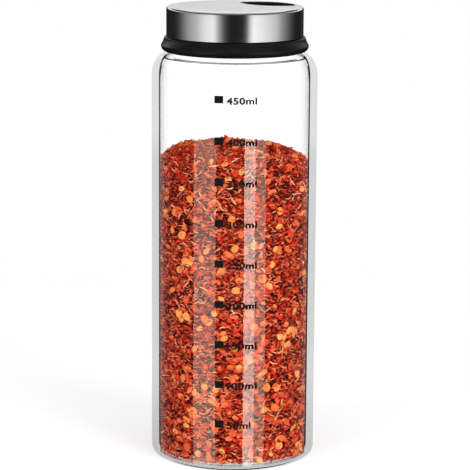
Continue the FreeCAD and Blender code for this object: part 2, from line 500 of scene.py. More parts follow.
@dataclass(frozen=True)
class ClearGlass:
    """Clear glass that lets lamp light through to what is behind it.

    Rays that meet it at a low angle go straight through with a painted grey tint, which stands in for the
    wall's refraction and gives it an even grey edge from every side. The inner face may also carry a painted
    dark line, painted shade along the inner edge of thick glass; it follows the angle at which a ray inside
    the glass meets that face.
    """

    name: str = "clear_glass"
    index: float = 1.47
    tint: Colour = (0.985, 0.992, 0.99)
    gloss: float = 1.0  # share of the plain reflection that the face keeps
    edge_front: Point | None = (0.57, 0.6)  # facing over which an entering ray goes straight
    edge_back: Point = (0.3, 0.38)  # the same for a ray that leaves the glass
    # painted grey of the wall's edge, in place of its refraction and reflections
    painted_edge_grey: float = 0.86
    painted_low_grey: float = 0.802  # the same beside the contents: darker, as painted shade of the contents on the wall
    contents_top: Point = (122.0, 136.0)  # heights between which the tint changes
    line: Point | None = None  # facing between which the painted dark line lies, painted shade along the inner edge
    painted_flat_line: Point | None = None  # the same for a ray that came straight
    ring: Point | None = None  # heights between which the painted dark line turns along the shoulder
    softness: tuple[float, float, float] = (0.25, 0.3, 0.35)  # of line, flat line and ring
    # darkness of the painted dark line along the shoulder
    painted_ring_depth: float = 0.95
    lamp_share: float = 0.945  # share of a lamp's light that each face lets through

    @staticmethod
    def band(nodes: Nodes, value: Any, span: Point, soft: float) -> Socket:
        """A value that is 1 within a span and falls off softly, over a share of it, at both ends."""
        reach = (span[1] - span[0]) * soft
        return nodes.times(nodes.fade(value, span[0], span[0] + reach),
                           nodes.fade(value, span[1] - reach, span[1], 1.0, 0.0))

    def build(self) -> Material:
        """Makes the material."""
        material, nodes, surface = new_material(self.name)
        glass = nodes.add("ShaderNodeBsdfPrincipled", {
            "Base Color": self.tint, "Roughness": 0.0, "IOR": self.index,
            "Transmission Weight": 1.0, "Specular Tint": 3 * (self.gloss,)})
        path = nodes.add("ShaderNodeLightPath").outputs
        passing = nodes.most(path["Is Shadow Ray"], path["Is Diffuse Ray"])
        facing = nodes.add("ShaderNodeLayerWeight").outputs["Facing"]
        leaving = nodes.add("ShaderNodeNewGeometry").outputs["Backfacing"]
        share = nodes.times(leaving, nodes.fade(facing, *self.edge_back))
        if self.edge_front:
            entering = nodes.minus(1.0, leaving)
            share = nodes.plus(share, nodes.times(entering, nodes.fade(facing, *self.edge_front)))
        height = nodes.split(nodes.here())[2]
        # painted grey for the wall's edge, darker beside the contents as painted shade
        clear = nodes.fade(height, *(z * MM for z in self.contents_top), self.painted_low_grey, self.painted_edge_grey)
        # painted dark lines, painted shade along the inner edge and under the shoulder, darken the
        # straight-through grey
        if self.line and self.painted_flat_line and self.ring:
            values = (facing, facing, height)
            spans = (self.line, self.painted_flat_line, tuple(z * MM for z in self.ring))
            line, flat, ring = (nodes.times(leaving, self.band(nodes, value, span, soft))
                                for value, span, soft in zip(values, spans, self.softness))
            ring = nodes.times(ring, self.painted_ring_depth)
            share = nodes.most(nodes.most(share, line), ring)
            dark = nodes.most(nodes.most(line, flat), ring)
            clear = nodes.times(nodes.minus(1.0, dark), clear)
        grey = nodes.plus(nodes.times(passing, self.lamp_share),
                          nodes.times(nodes.minus(1.0, passing), clear))
        colour = nodes.add("ShaderNodeCombineColor", {0: grey, 1: grey, 2: grey})
        straight = nodes.add("ShaderNodeBsdfTransparent", {"Color": colour})
        mix = nodes.add("ShaderNodeMixShader", {
            0: nodes.most(passing, share), 1: glass, 2: straight})
        nodes.feed(surface, mix)
        return material


class Finish:
    """A finish that is one Principled shader, whose inputs a subclass gives."""

    name: str

    def look(self, nodes: Nodes, here: Any) -> dict[str, Any]:
        """The shader's inputs, from the place on the piece."""
        raise NotImplementedError

    def build(self) -> Material:
        """Makes the material."""
        material, nodes, surface = new_material(self.name)
        skin = nodes.add("ShaderNodeBsdfPrincipled", self.look(nodes, nodes.here()))
        nodes.feed(surface, skin)
        return material


def scaled(colour: Colour, share: float) -> Colour:
    """A colour made lighter or darker."""
    return tuple(share * c for c in colour)


@dataclass(frozen=True)
class DullFinish(Finish):
    """A dull finish with a fine grain of lighter specks."""

    name: str
    colour: Colour
    grain: float  # specks per metre
    lift: float  # how much lighter the specks are
    roughness: float
    gloss: float = 0.5

    def look(self, nodes: Nodes, here: Any) -> dict[str, Any]:
        """The shader's inputs."""
        colour = nodes.blend(nodes.noise(here, self.grain), self.colour, scaled(self.colour, self.lift))
        return {"Base Color": colour, "Roughness": self.roughness, "Specular IOR Level": self.gloss}


SCALE_INK = DullFinish("scale_ink", srgb(12, 12, 15), 900.0, 1.7, 0.42)
OPENING_SHADE = DullFinish("steel_cut_edge", srgb(26, 26, 27), 1500.0, 1.6, 0.6, 0.2)  # near-black matte on the opening's cut walls: painted shade, in place of the steel


@dataclass(frozen=True)
class BlackPlastic(Finish):
    """Moulded black plastic with a soft sheen and a fine mould texture."""

    name: str = "black_plastic"
    colour: Colour = srgb(9, 9, 10)
    roughness: float = 0.36
    gloss: float = 0.17
    clouds: float = 160.0
    grain: float = 2600.0

    def look(self, nodes: Nodes, here: Any) -> dict[str, Any]:
        """The shader's inputs."""
        clouds = nodes.noise(here, self.clouds, 3.0)
        return {
            "Base Color": nodes.blend(clouds, self.colour, scaled(self.colour, 1.5)),
            "Roughness": nodes.fade(clouds, *CLOUDS, self.roughness - 0.05, self.roughness + 0.07),
            "Normal": nodes.bump(nodes.noise(here, self.grain), 0.12, 0.02),
            "Specular IOR Level": self.gloss}


@dataclass(frozen=True)
class SatinSteel(Finish):
    """Turned steel: fine rings on the flat top and fine lines round the side."""

    name: str = "satin_steel"
    colour: Colour = (0.63, 0.63, 0.635)
    side_roughness: float = 0.13
    top_roughness: float = 0.3
    ring_scale: float = 5200.0
    turn_scale: float = 3.0
    wear: float = 90.0

    def look(self, nodes: Nodes, here: Any) -> dict[str, Any]:
        """The shader's inputs."""
        x, y, z = nodes.split(here)
        lines = nodes.noise(nodes.vector(
            nodes.times(nodes.radius(x, y), self.ring_scale),
            nodes.times(nodes.maths("ARCTAN2", y, x), self.turn_scale),
            nodes.times(z, self.ring_scale)), 1.0, 3.0)
        upward = nodes.split(nodes.add("ShaderNodeNewGeometry").outputs["Normal"])[2]
        base = nodes.fade(upward, 0.6, 0.95, self.side_roughness, self.top_roughness)
        worn = nodes.plus(base, nodes.fade(nodes.noise(here, self.wear, 4.0), *CLOUDS, -0.01, 0.015))
        return {
            "Base Color": nodes.blend(lines, scaled(self.colour, 0.93), scaled(self.colour, 1.05)),
            "Metallic": 1.0,
            "Roughness": nodes.plus(worn, nodes.fade(lines, *CLOUDS, -0.03, 0.03)),
            "Normal": nodes.bump(lines, 0.25, 0.004)}


@dataclass(frozen=True)
class DriedChilli(Finish):
    """Dry chilli skin, seed or strand: each bit has its own tone, and mottling runs across it."""

    name: str
    dark: Colour
    light: Colour
    stain: Colour
    roughness: float = 0.45
    stain_share: float = 0.35
    relief: float = 0.06
    gloss: float = 0.2
    mottle: float = 900.0
    grain: float = 3200.0

    def look(self, nodes: Nodes, here: Any) -> dict[str, Any]:
        """The shader's inputs."""
        tone = nodes.add("ShaderNodeAttribute", attribute_name="tone").outputs["Fac"]
        fine = nodes.noise(here, self.grain)
        stained = nodes.fade(nodes.noise(here, self.mottle, 3.0), 0.48, 0.68, 0.0, self.stain_share)
        return {
            "Base Color": nodes.blend(stained, nodes.blend(tone, self.dark, self.light), self.stain),
            "Roughness": nodes.fade(fine, *CLOUDS, self.roughness - 0.1, self.roughness + 0.12),
            "Normal": nodes.bump(fine, 0.5, self.relief),
            "Specular IOR Level": self.gloss}


# ---- geometry nodes


class GeometryTree(Nodes):
    """A Geometry Nodes tree with named inputs, which is run on objects to make their plain meshes."""

    def __init__(self, name: str, sizes: str, **others: str) -> None:
        """Makes a tree with a geometry input and output, and with an input for the material.

        Args:
            name: Name of the tree.
            sizes: Names of its plain numbers, with spaces between them.
            **others: Kinds of its other inputs by name, such as Int or Collection.
        """
        super().__init__(bpy.data.node_groups.new(name, "GeometryNodeTree"))
        face = self.tree.interface
        for way in ("INPUT", "OUTPUT"):
            face.new_socket("Geometry", in_out=way, socket_type="NodeSocketGeometry")
        start = self.tree.nodes.new("NodeGroupInput")
        self.end = self.tree.nodes.new("NodeGroupOutput")
        self.keys: dict[str, str] = {}
        for key, kind in {**dict.fromkeys(sizes.split(), "Float"), **others, "material": "Material"}.items():
            item = face.new_socket(key, in_out="INPUT", socket_type=f"NodeSocket{kind}")
            self.keys[key] = item.identifier
        self.given = {socket.name: socket for socket in start.outputs}

    def random(self, low: Any, high: Any, seed: Any, kind: str = "FLOAT") -> Socket:
        """Adds a Random Value node.

        Args:
            low: Least value.
            high: Greatest value.
            seed: Its seed.
            kind: Its data type.

        Returns:
            Its output.
        """
        node = self.add("FunctionNodeRandomValue", {"Min": low, "Max": high, "Seed": seed}, data_type=kind)
        return live(node.outputs, "Value")

    def moved(self, geometry: Any, along: Any, amount: Any) -> Socket:
        """Moves points along a direction by an amount."""
        by = self.add("ShaderNodeVectorMath", {0: along, "Scale": amount}, operation="SCALE")
        return self.add("GeometryNodeSetPosition", {"Geometry": geometry, "Offset": by}).outputs[0]

    def finish(self, geometry: Any) -> None:
        """Ends the tree in Realize Instances and Set Material."""
        real = self.add("GeometryNodeRealizeInstances", {0: geometry})
        dressed = self.add("GeometryNodeSetMaterial", {
            "Geometry": real, "Material": self.given["material"]})
        self.feed(self.end.inputs[0], dressed)

    def run(self, thing: Thing, **values: Any) -> None:
        """Runs the tree on an object and turns the result into its plain mesh.

        Args:
            thing: The object.
            **values: Values of the named inputs.
        """
        change = thing.modifiers.new(self.tree.name, "NODES")
        change.node_group = self.tree
        for name, value in values.items():
            change[self.keys[name]] = value
        baked(thing)


# ---- the jar


@dataclass
class Jar:
    """Clear jar: foot ring, heel, straight side, thin shoulder, threaded neck and rounded rim."""

    radius: float = 34.0
    wall: float = 3.0
    floor: float = 1.8
    heel: float = 2.8
    inner_heel: float = 1.6
    foot_land: float = 7.0
    push_up: float = 0.5
    shoulder_top: float = 168.5
    shoulder_wall: float = 1.3
    shoulder_reach: float = 7.0
    shoulder_drop: float = 10.0
    inner_reach: float = 3.5
    neck_radius: float = 24.4
    neck_wall: float = 2.4
    neck_height: float = 14.3
    neck_root: float = 1.0
    mouth_root: float = 1.6
    rim_round: float = 0.9
    ring: float = 166.9  # the painted dark line under the shoulder ends here; above it the glass is plain
    ring_width: float = 0.8
    plain_reach: float = 4.0  # how far from the neck the shoulder's top is plain as well
    slack: float = 0.01  # a face this near a wall lies on it
    skin: float = 0.05  # the glass stays this far inside the solid, so that the print lies on it
    thread_pitch: float = 3.2
    thread_turns: float = 1.6
    thread_depth: float = 0.55
    segments: int = 256

    @property
    def bore(self) -> float:
        """Inner radius of the straight side."""
        return self.radius - self.wall

    def outline(self) -> Outline:
        """Half-section of the glass."""
        r = self.radius - self.skin
        top, foot_z = self.shoulder_top, self.shoulder_top - self.shoulder_drop
        mouth, rim_z = self.neck_radius - self.neck_wall, self.shoulder_top + self.neck_height
        ceiling = top - self.shoulder_wall
        ring = r - self.heel - self.foot_land
        glass = Outline(0.0, self.push_up)
        for i in range(1, 9):
            share = i / 8
            glass.line(ring * share, self.push_up * (1 - share**2))
        glass.line(r - self.heel, 0.0, 4)
        glass.round((r - self.heel, self.heel), self.heel, -90, 0, 12)
        glass.line(r, foot_z, 12)
        glass.arc((r - self.shoulder_reach, foot_z), self.shoulder_reach, self.shoulder_drop, 0, 90, 24)
        glass.round((self.neck_radius + self.neck_root, top + self.neck_root), self.neck_root, 270, 180, 6)
        glass.round((self.neck_radius - self.rim_round, rim_z - self.rim_round), self.rim_round, 0, 90)
        glass.round((mouth + self.rim_round, rim_z - self.rim_round), self.rim_round, 90, 180)
        glass.round((mouth + self.mouth_root, ceiling + self.mouth_root), self.mouth_root, 180, 270, 8)
        glass.arc((self.bore - self.inner_reach, foot_z), self.inner_reach, ceiling - foot_z, 90, 0, 20)
        inner = self.bore - self.inner_heel
        glass.line(self.bore, self.floor + self.inner_heel, 12)
        glass.round((inner, self.floor + self.inner_heel), self.inner_heel, 0, -90, 12)
        glass.line(0.0, self.floor, 6)
        return glass

    def build(self) -> list[Thing]:
        """Makes the glass and the neck's thread.

        Returns:
            The two pieces.
        """
        glass = place("jar_glass", lathe("jar_glass", self.outline(), self.segments, closed=False))
        smooth(glass.data, 50.0)
        outer = ClearGlass().build()
        # the inner face carries the painted dark lines
        inner = ClearGlass("clear_glass_inner", gloss=0.15, edge_front=None, painted_edge_grey=1.0, painted_low_grey=1.0,
                           line=(0.252, 0.277), painted_flat_line=(0.78, 0.96),
                           ring=(self.ring - self.ring_width, self.ring))
        neck = ClearGlass("clear_glass_neck", edge_front=(-0.2, -0.1), edge_back=(-0.2, -0.1),
                          painted_edge_grey=0.98, painted_low_grey=0.98)
        for finish in (outer, inner.build(), neck.build()):
            glass.data.materials.append(finish)
        ceiling = self.shoulder_top - self.shoulder_wall
        for face in glass.data.polygons:
            r, z = face.center.xy.length / MM, face.center.z / MM
            inside = r < self.bore + self.slack and self.floor - self.slack < z < ceiling + self.slack
            high = z > self.ring if inside else z > ceiling and r < self.neck_radius + self.plain_reach
            face.material_index = 2 if high else int(inside)
        return [glass, self.thread(outer)]

    def thread(self, material: Material) -> Thing:
        """Makes the raised thread that the collar screws on to, by a curve with a rounded section.

        Args:
            material: The glass.

        Returns:
            The piece.
        """
        tree = GeometryTree("neck_thread", "turns radius pitch depth start")
        given = tree.given
        spiral = tree.add("GeometryNodeCurveSpiral", {
            "Resolution": 72, "Rotations": given["turns"], "Start Radius": given["radius"],
            "End Radius": given["radius"], "Height": tree.times(given["turns"], given["pitch"])})
        raised = tree.add("GeometryNodeSetPosition", {
            "Geometry": spiral, "Offset": tree.vector(z=given["start"])})
        section = tree.add("GeometryNodeCurvePrimitiveCircle", {"Resolution": 10, "Radius": given["depth"]})
        ridge = tree.add("GeometryNodeCurveToMesh", {
            "Curve": raised, "Profile Curve": section, "Fill Caps": True})
        tree.finish(ridge)
        thing = place("neck_thread", bpy.data.meshes.new("neck_thread"))
        tree.run(thing, turns=self.thread_turns, radius=self.neck_radius * MM, pitch=self.thread_pitch * MM,
                 depth=self.thread_depth * MM, start=(self.shoulder_top + self.neck_height / 3) * MM,
                 material=material)
        smooth(thing.data, 60.0)
        return thing


@dataclass
class VolumeScale:
    """Plain print on the front of the glass: a square and a number for each 50 ml."""

    jar: Jar
    step_ml: int = 50
    top_ml: int = 450
    top_height: float = 153.25
    spacing: float = 16.61
    lean: float = 0.1  # how far each lower row lies to the right
    square_width: float = 3.6
    square_height: float = 3.0
    square_x: float = -6.25
    text_x: float = -3.2
    text_drop: float = 0.55
    text_width: float = 12.3  # of a label of as many letters as full_label
    full_label: int = 5
    digit_height: float = 2.9
    boldness: float = 0.038
    spacing_share: float = 1.06
    ink: float = 0.03
    slice: float = 0.4  # width of the flat strips that the print is bent in

    def wrapped(self, x: float, z: float, out: float) -> Vector:
        """Point on the front of the jar.

        Args:
            x: Distance along the glass from its middle, in millimetres.
            z: Height in millimetres.
            out: Share of the ink's thickness, from 0 at the glass to 1.

        Returns:
            The point in metres.
        """
        r = self.jar.radius - self.ink * (1.2 - out)
        turn = x / self.jar.radius
        return Vector((r * sin(turn), -r * cos(turn), z)) * MM

    def text(self, words: str) -> Shape:
        """Flat mesh of a label, its left foot at the origin, in millimetres, cut in narrow strips."""
        curve = bpy.data.curves.new("label", "FONT")
        curve.body = words
        curve.offset = self.boldness
        curve.extrude = 0.5
        curve.resolution_u = 3
        curve.space_character = self.spacing_share
        thing = place("label", curve)
        mesh = bpy.data.meshes.new_from_object(thing)
        bpy.data.objects.remove(thing)
        bpy.data.curves.remove(curve)
        shape = bmesh.new()
        shape.from_mesh(mesh)
        bpy.data.meshes.remove(mesh)
        xs, ys = [v.co.x for v in shape.verts], [v.co.y for v in shape.verts]
        left, foot = min(xs), min(ys)
        across = self.text_width * len(words) / self.full_label / (max(xs) - left)
        upward = self.digit_height / (max(ys) - foot)
        for vertex in shape.verts:
            vertex.co.x = (vertex.co.x - left) * across
            vertex.co.y = (vertex.co.y - foot) * upward
        for i in range(1, int(self.text_width / self.slice)):
            bmesh.ops.bisect_plane(
                shape, geom=shape.verts[:] + shape.edges[:] + shape.faces[:], dist=1e-5,
                plane_co=(i * self.slice, 0, 0), plane_no=(1, 0, 0))
        return shape

    def square(self) -> Shape:
        """Flat mesh of a square, its middle at the origin, in millimetres."""
        shape = bmesh.new()
        columns = 9
        xs = [(i / columns - 0.5) * self.square_width for i in range(columns + 1)]
        rows = []
        for z, y in ((-0.5, -0.5), (-0.5, 0.5), (0.5, 0.5), (0.5, -0.5)):
            rows.append([shape.verts.new((x, y * self.square_height, z)) for x in xs])
        for i in range(columns):
            for j in range(4):
                shape.faces.new((rows[j][i], rows[j][i + 1], rows[(j + 1) % 4][i + 1], rows[(j + 1) % 4][i]))
        for i in (0, columns):
            shape.faces.new([row[i] for row in rows])
        return shape

    def bent(self, flat: Shape, x: float, z: float) -> Mesh:
        """Bends a flat mesh round the jar.

        Args:
            flat: The mesh, in millimetres, with its thickness from -0.5 to 0.5; it is freed.
            x: Where its origin lies along the glass.
            z: Height of its origin.

        Returns:
            The bent mesh, in metres.
        """
        for vertex in flat.verts:
            along, up, depth = vertex.co
            vertex.co = self.wrapped(x + along, z + up, depth + 0.5)
        return finished("print", flat, merge=True)

    def build(self) -> list[Thing]:
        """Makes the squares and the labels.

        Returns:
            One piece each.
        """
        squares, labels = bmesh.new(), bmesh.new()
        for row in range(self.top_ml // self.step_ml):
            z = self.top_height - row * self.spacing
            aside = row * self.lean
            words = f"{self.top_ml - row * self.step_ml}ml"
            foot = z - self.text_drop - self.digit_height / 2
            for shape, mesh in (
                    (labels, self.bent(self.text(words), self.text_x + aside, foot)),
                    (squares, self.bent(self.square(), self.square_x + aside, z))):
                shape.from_mesh(mesh)
                bpy.data.meshes.remove(mesh)
        ink = SCALE_INK.build()
        pieces = []
        for name, shape in (("scale_squares", squares), ("scale_numbers", labels)):
            mesh = finished(name, shape, turn=False)
            mesh.materials.append(ink)
            pieces.append(place(name, mesh))
        return pieces


# ---- the fill


@dataclass(frozen=True)
class Bit:
    """One kind of loose bit: its shapes, how many of them lie behind the glass, and how they lie."""

    name: str
    finish: DriedChilli
    shape: Callable[[random.Random, str], Mesh]
    per_square_cm: float
    seed: int
    smallest: float = 0.7
    largest: float = 1.3
    depth: float = 1.4
    tilt: float = 0.6  # how far they tip out of the wall's face, towards lying flat
    spin: float = pi  # how far they turn in their own plane from lying level
    shapes: int = 10
    patch: float = 75.0  # how fine the uneven spread is, per metre
    uneven: float = 0.6
    sinking: float = 0.0  # how many more lie low in the jar than near the top
    stand: float = 0.9  # how much the bits on top of the heap tip up


def bit_mesh(name: str, rings: Sequence[Sequence[Vector]], top: Vector, bottom: Vector) -> Mesh:
    """Closed mesh of a bit from rings of points, capped by a point at each end.

    Args:
        name: Name of the mesh.
        rings: Rings with as many points each, from top to bottom, in millimetres.
        top: Point that closes the first ring.
        bottom: Point that closes the last ring.

    Returns:
        The mesh, in metres.
    """
    shape = bmesh.new()
    made = [[shape.verts.new(p * MM) for p in ring] for ring in rings]
    ends = shape.verts.new(top * MM), shape.verts.new(bottom * MM)
    count = len(made[0])
    for i in range(count):
        j = (i + 1) % count
        shape.faces.new((ends[0], made[0][i], made[0][j]))
        shape.faces.new((ends[1], made[-1][j], made[-1][i]))
        for high, low in zip(made, made[1:]):
            shape.faces.new((high[i], low[i], low[j], high[j]))
    bmesh.ops.triangulate(shape, faces=shape.faces)
    return finished(name, shape)


@dataclass(frozen=True)
class Chip:
    """Broken piece of skin: an uneven outline, cupped or curled, thin at its edge."""

    length: float
    width: float
    thickness: float = 0.16
    corners: tuple[int, int] = (5, 7)
    curl: float = 0.12
    ragged: float = 0.3
    wrinkled: bool = False

    def __call__(self, rng: random.Random, name: str) -> Mesh:
        """Makes one shape.

        Args:
            rng: Source of its chance sizes.
            name: Name of the mesh.

        Returns:
            The mesh.
        """
        count = rng.randint(*self.corners)
        bend = rng.uniform(-1, 1) * self.curl, rng.uniform(-0.5, 0.5) * self.curl
        skew = rng.uniform(-0.3, 0.3)

        def surface(x: float, y: float, lift: float) -> Vector:
            """Point of the curved skin."""
            return Vector((x, y + skew * x, bend[0] * x * x + bend[1] * y * y + lift))

        angles = [2 * pi * (i + rng.uniform(-0.3, 0.3)) / count for i in range(count)]
        spread = [1 - rng.random() * self.ragged for _ in range(count)]
        edge = [(self.length / 2 * s * cos(a), self.width / 2 * s * sin(a))
                for a, s in zip(angles, spread)]
        half = self.thickness / 2
        rings = [[surface(x, y, 0.0) for x, y in edge]]
        if self.wrinkled:
            ripple = [rng.uniform(-0.12, 0.12) for _ in range(count)]
            inner = [(0.55 * x, 0.55 * y) for x, y in edge]
            rings = [[surface(x, y, half + w) for (x, y), w in zip(inner, ripple)], rings[0],
                     [surface(x, y, -half + w) for (x, y), w in zip(inner, ripple)]]
        return bit_mesh(name, rings, surface(0, 0, half), surface(0, 0, -half))


@dataclass(frozen=True)
class Seed:
    """Flat round seed with a thick rim, a dimple and a small beak."""

    radius: float = 1.65
    rim: float = 0.3
    dimple: float = 0.14
    corners: int = 12

    def __call__(self, rng: random.Random, name: str) -> Mesh:
        """Makes one shape; the arguments and result are those of Chip."""
        beak = rng.uniform(0.08, 0.3)
        oval = rng.uniform(0.82, 1.0)
        warp = rng.uniform(-0.05, 0.05)

        def ring(share: float, lift: float) -> list[Vector]:
            """Points at a share of the radius."""
            points = []
            for i in range(self.corners):
                turn = 2 * pi * i / self.corners
                out = self.radius * share * (1 + beak * max(0.0, cos(turn)) ** 6)
                x, y = out * cos(turn), out * oval * sin(turn)
                points.append(Vector((x, y, lift + warp * x * x)))
            return points

        rings = [ring(0.62, self.rim * 0.8), ring(0.9, self.rim * 0.75), ring(1.0, 0.0),
                 ring(0.9, -self.rim * 0.75), ring(0.62, -self.rim * 0.8)]
        return bit_mesh(name, rings, Vector((0, 0, self.dimple)), Vector((0, 0, -self.dimple)))


@dataclass(frozen=True)
class Strand:
    """Thin curled fibre of the white rib or of rolled skin."""

    length: float = 4.2
    thick: float = 0.34
    steps: int = 5

    def __call__(self, rng: random.Random, name: str) -> Mesh:
        """Makes one shape; the arguments and result are those of Chip."""
        length = self.length * rng.uniform(0.7, 1.3)
        curve = rng.uniform(-2.2, 2.2)
        rise = rng.uniform(-0.3, 0.3)
        heading, spot = -curve / 2, Vector((-length / 2, 0, 0))
        rings = []
        for i in range(self.steps + 1):
            share = i / self.steps
            thick = self.thick / 2 * (0.45 + 0.9 * sin(pi * min(max(share, 0.08), 0.92)))
            side = Vector((-sin(heading), cos(heading), 0))
            corners = ((0.0, 1.0), (0.87, -0.5), (-0.87, -0.5))
            lift = rise * share * (1 - share)
            rings.append([spot + side * (a * thick * 1.5) + Vector((0, 0, b * thick + lift))
                          for a, b in corners])
            spot = spot + Vector((cos(heading), sin(heading), 0)) * (length / self.steps)
            heading += curve / self.steps
        first = sum(rings[0], Vector()) / 3
        last = sum(rings[-1], Vector()) / 3
        return bit_mesh(name, rings, first, last)


@dataclass
class ChilliFill:
    """Crushed chilli up to its heaped top: a dark core in relief, whose dark is partly painted shade of the
    gaps, and loose bits in front of it.
    """

    jar: Jar
    edge_level: float = 126.2
    rise: float = 4.4
    tilt: float = 0.9
    waves: tuple[tuple[float, float, float, float], ...] = (
        (0.5, 1.1, 0.0, 75.0), (0.4, 2.1, 80.0, -20.0), (0.3, 3.4, 20.0, 75.0))
    reach: float = 30.985  # the outermost bits
    floor_gap: float = 0.02  # between the lowest bits and the glass
    core_depth: float = 2.2
    core_relief: float = 0.75
    core_grain: float = 700.0
    core_facets: tuple[int, int, int] = (200, 150, 13)
    core_slow: float = 0.35  # how coarse its slow waves are beside its grain
    core_swell: float = 1.4  # how high they are
    core_lift: float = -0.1
    least_heel: float = 0.6
    bit_depth: float = 0.35  # how deep the form lies on which bits are laid
    bit_facets: tuple[int, int, int] = (96, 40, 10)
    roll: float = 0.35  # how far bits against the glass tip sideways
    sinking_heights: Point = (60.0, 118.0)
    under_share: float = 0.45  # share of the bits that lie under the fill
    under_span: Point = (-0.9, -0.5)  # rise of the surface between which their number falls
    top_span: Point = (0.5, 0.9)  # the same between which bits tip up
    patch_span: Point = (0.36, 0.64)  # noise between which a patch fades
    patch_step: float = 0.37  # how far the patches of one kind lie from the next, for each seed
    wall_spread: float = 0.25  # how far apart bits end behind the glass
    floor_spread: float = 0.2  # the same over the floor
    settling: float = 12.0  # depth below the top in which the side follows the heap's shape

    def top(self, x: float, y: float) -> float:
        """Height of the heap's top at a place, in millimetres."""
        bore = self.jar.bore
        share = (x * x + y * y) / bore**2
        height = self.edge_level + self.rise * (1 - share**2) - self.tilt * x / bore
        for rise, across, direction, phase in self.waves:
            turn = radians(direction)
            along = (x * cos(turn) + y * sin(turn)) / (2 * bore)
            height += rise * sin(2 * pi * across * along + radians(phase))
        return height

    def body(self, name: str, inset: float, segments: int, rows: int, rings: int) -> Mesh:
        """Closed form of the fill, its surface a little inside the solid's.

        Args:
            name: Name of the mesh.
            inset: How far inside the glass, the floor and the heap's top it stays.
            segments: Facets round the axis.
            rows: Facets up the side.
            rings: Facets from the axis to the side, above and below.

        Returns:
            The mesh.
        """
        radius, low = self.jar.bore - inset, self.jar.floor + inset
        heel = max(self.jar.inner_heel - inset, self.least_heel)
        form = Outline(0.0, low)
        form.line(radius - heel, low, rings)
        form.round((radius - heel, low + heel), heel, -90, 0, 5)
        form.line(radius, self.edge_level - inset, rows)
        form.line(0.0, self.edge_level - inset, rings)
        mesh = lathe(name, form, segments, closed=False)
        top_z = (self.edge_level - inset) * MM
        for vertex in mesh.vertices:
            x, y, z = vertex.co / MM
            near = max(0.0, 1 - (self.edge_level - inset - z) / self.settling)
            if near > 0:
                lift = self.top(x, y) - self.edge_level
                vertex.co.z = min(z, top_z / MM) * MM + lift * near * MM
        return mesh

    def core(self) -> Thing:
        """Makes the core: the finest crumbs, as relief on one dark form, dark partly as painted shade between
        the loose bits.

        Returns:
            The piece.
        """
        tree = GeometryTree("crumb_relief", "grain height lift")
        grain = tree.given["grain"]
        here = tree.add("GeometryNodeInputPosition").outputs[0]
        facing = tree.add("GeometryNodeInputNormal").outputs[0]
        lumps = tree.add("ShaderNodeTexVoronoi", {"Vector": here, "Scale": grain}).outputs["Distance"]
        slow = tree.noise(here, tree.times(grain, self.core_slow))
        relief = tree.minus(tree.times(slow, self.core_swell), lumps)
        amount = tree.plus(tree.times(relief, tree.given["height"]), tree.given["lift"])
        tree.finish(tree.moved(tree.given["Geometry"], facing, amount))
        thing = place("chilli_core", self.body("chilli_core", self.core_depth, *self.core_facets))
        # dark reds, partly the crumbs' own colour and partly painted shade of the gaps between the bits
        finish = DriedChilli("chilli_crumb", srgb(58, 8, 4), srgb(104, 20, 9), srgb(150, 44, 20), 0.6, 0.5)
        tree.run(thing, grain=self.core_grain, height=self.core_relief * MM, lift=self.core_lift * MM,
                 material=finish.build())
        smooth(thing.data, 60.0)
        return thing

    def kinds(self) -> list[Bit]:
        """The kinds of loose bit, from the finest to the largest."""
        crumb = DriedChilli("chilli_dark", srgb(92, 8, 4), srgb(170, 28, 12), srgb(60, 6, 3), 0.5)
        fibre = DriedChilli("chilli_fibre", srgb(112, 12, 5), srgb(206, 60, 29), srgb(74, 8, 4), 0.45)
        red = DriedChilli("chilli_red", srgb(146, 15, 5), srgb(238, 58, 22), srgb(100, 10, 4), 0.4)
        thread = DriedChilli("chilli_thread", srgb(176, 42, 19), srgb(248, 160, 116), srgb(122, 23, 11), 0.42)
        orange = DriedChilli("chilli_orange", srgb(190, 58, 26), srgb(238, 128, 78), srgb(148, 32, 14), 0.4)
        flake = DriedChilli("chilli_flake", srgb(186, 41, 18), srgb(236, 114, 66), srgb(144, 24, 11), 0.36)
        seed = DriedChilli("chilli_seed", srgb(200, 76, 26), srgb(236, 158, 86), srgb(190, 64, 22), 0.42)
        rib = DriedChilli("chilli_rib", srgb(208, 98, 54), srgb(255, 190, 140), srgb(182, 64, 28), 0.45)
        return [
            Bit("crumbs_dark", crumb, Chip(1.5, 0.9, 0.2, (4, 6), 0.2, 0.4), 50, 11, 0.5, 1.5, 1.5, 1.3,
                uneven=0.8),
            Bit("slivers_dark", fibre, Chip(2.4, 0.46, 0.2, (4, 5), 0.16, 0.25), 56, 17, 0.5, 1.35, 1.2, 1.0,
                0.9, 12),
            Bit("chips_red", red, Chip(2.2, 1.25, 0.16, (5, 7), 0.16), 38, 23, 0.5, 1.35, 1.2, 1.15, 1.1,
                uneven=0.75),
            Bit("slivers_red", thread, Chip(2.6, 0.4, 0.2, (4, 5), 0.16, 0.25), 44, 29, 0.5, 1.3, 0.9, 0.9,
                0.8, 12),
            Bit("chips_orange", orange, Chip(2.1, 1.3, 0.16, (5, 7), 0.16), 7, 37, 0.5, 1.3, 1.0, 1.0,
                sinking=0.2),
            Bit("flakes_large", flake, Chip(3.9, 2.8, 0.18, (7, 9), 0.09, 0.3, True), 4.0, 41, 0.6, 1.15,
                0.8, 0.6, pi, 14, sinking=0.3),
            Bit("seeds", seed, Seed(), 0.95, 53, 0.8, 1.08, 0.5, 0.5, uneven=0.7, sinking=0.55),
            Bit("strands", rib, Strand(4.4, 0.32, 5), 3.0, 67, 0.6, 1.15, 0.7, 0.4, 1.1, 14),
        ]

